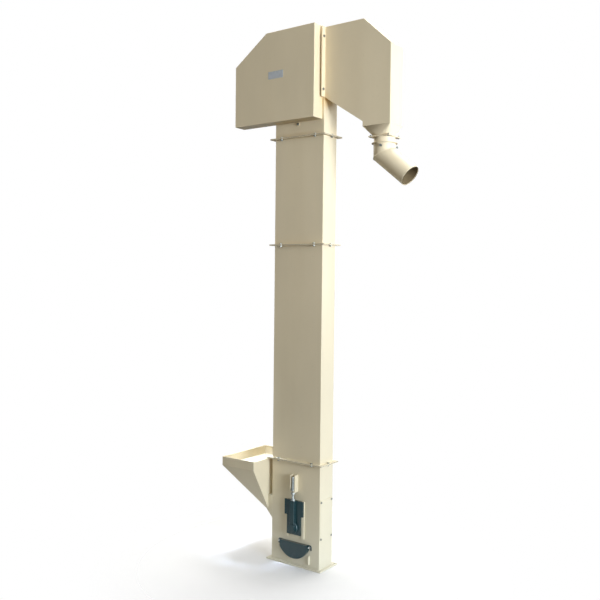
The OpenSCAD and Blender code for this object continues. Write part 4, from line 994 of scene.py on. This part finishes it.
def floor_material():
    """Pale ground that turns clear towards its edge."""
    s = Shader("floor")
    s.join(s.ramp(s.noise(1.3, 3, 0.5), *FLOOR_TONES), s.surface.inputs["Base Color"])
    s.surface.inputs["Roughness"].default_value = 0.9
    clear = s.add("ShaderNodeBsdfTransparent")
    blend = s.add("ShaderNodeMixShader")
    s.join(s.distance((0, 0, 0), *FLOOR_FADE), blend.inputs[0])
    s.join(s.surface.outputs["BSDF"], blend.inputs[1])
    s.join(clear.outputs["BSDF"], blend.inputs[2])
    s.join(blend.outputs["Shader"], s.tree.nodes["Material Output"].inputs["Surface"])
    return s.material


def add_stage():
    """A pale round floor whose edge melts into the white surroundings, so that nothing hides the part
    from any side."""
    bm = bmesh.new()
    place = Matrix.Translation((0, 0, FLOOR_Z))
    bmesh.ops.create_circle(bm, cap_ends=True, segments=96, radius=FLOOR_R, matrix=place)
    mesh = bpy.data.meshes.new("floor")
    bm.to_mesh(mesh)
    bm.free()
    mesh.materials.append(floor_material())
    floor = bpy.data.objects.new("floor", mesh)
    scene.collection.objects.link(floor)


def add_light(name, place, target, size, power, colour, spread):
    light = bpy.data.objects.new(name, bpy.data.lights.new(name, "AREA"))
    light.data.shape = "RECTANGLE"
    light.data.size, light.data.size_y = size
    light.data.energy = power
    light.data.color = colour
    light.data.spread = math.radians(spread)
    light.visible_camera = False
    aim = (Vector(target) - Vector(place)).to_track_quat("-Z", "Y")
    light.matrix_world = Matrix.Translation(place) @ aim.to_matrix().to_4x4()
    scene.collection.objects.link(light)


def background(tree, way, colour, low, high):
    """A background of one colour. Way is one component of a direction, along which the strength goes
    from low to high."""
    layer = tree.nodes.new("ShaderNodeBackground")
    layer.inputs["Color"].default_value = (*colour, 1)
    fade = tree.nodes.new("ShaderNodeMapRange")
    for socket, value in (("From Min", -BLEND), ("From Max", BLEND), ("To Min", low), ("To Max", high)):
        fade.inputs[socket].default_value = value
    tree.links.new(way, fade.inputs["Value"])
    tree.links.new(fade.outputs["Result"], layer.inputs["Strength"])
    return layer


def add_world():
    """White surroundings for the eye, a cool sheen for glossy faces that is brighter on the right, and a
    dim warm fill for the rest that is darker below the horizon."""
    world = bpy.data.worlds.new("studio")
    scene.world = world
    world.use_nodes = True
    tree = world.node_tree
    path = tree.nodes.new("ShaderNodeLightPath")
    place = tree.nodes.new("ShaderNodeTexCoord")
    ways = tree.nodes.new("ShaderNodeSeparateXYZ")
    tree.links.new(place.outputs["Generated"], ways.inputs["Vector"])
    shown = None
    for seen_by, axis, colour, low, high in SURROUNDINGS:
        layer = background(tree, ways.outputs[axis], colour, low, high)
        if shown:
            blend = tree.nodes.new("ShaderNodeMixShader")
            tree.links.new(path.outputs[seen_by], blend.inputs[0])
            tree.links.new(shown.outputs[0], blend.inputs[1])
            tree.links.new(layer.outputs[0], blend.inputs[2])
            layer = blend
        shown = layer
    tree.links.new(shown.outputs[0], tree.nodes["World Output"].inputs["Surface"])


# Assembly
add_camera()
add_stage()
for light in LIGHTS:
    add_light(*light)
add_world()
for name in BOLTS:
    dressed_bolts(name)
# The studs of the clean-out cover point to the front
to_front = Matrix.Rotation(math.radians(90), 4, "X")
dressed_nuts("cleanout_nuts", STUD_D, STUD_FLATS, to_front, STUD_WASHER_T)
for name in ROD_NUTS:
    dressed_nuts(name, ROD_D, ROD_FLATS)
add_rod_threads()
add_stud_threads()
add_bearings()
for name in nodes:
    if name not in BUILT:
        item = dressed(name)
        # Painted shade inside the spout's pipe
        if name in INNER_SHADE:
            set_grime_and_shade(item, INNER_SHADE[name])
add_casing_welds()
add_elbow_welds()
add_mouth_rim()
add_hopper_hem()
add_hubs()
add_label_rivets()
add_motor_fittings()

bpy.context.view_layer.update()
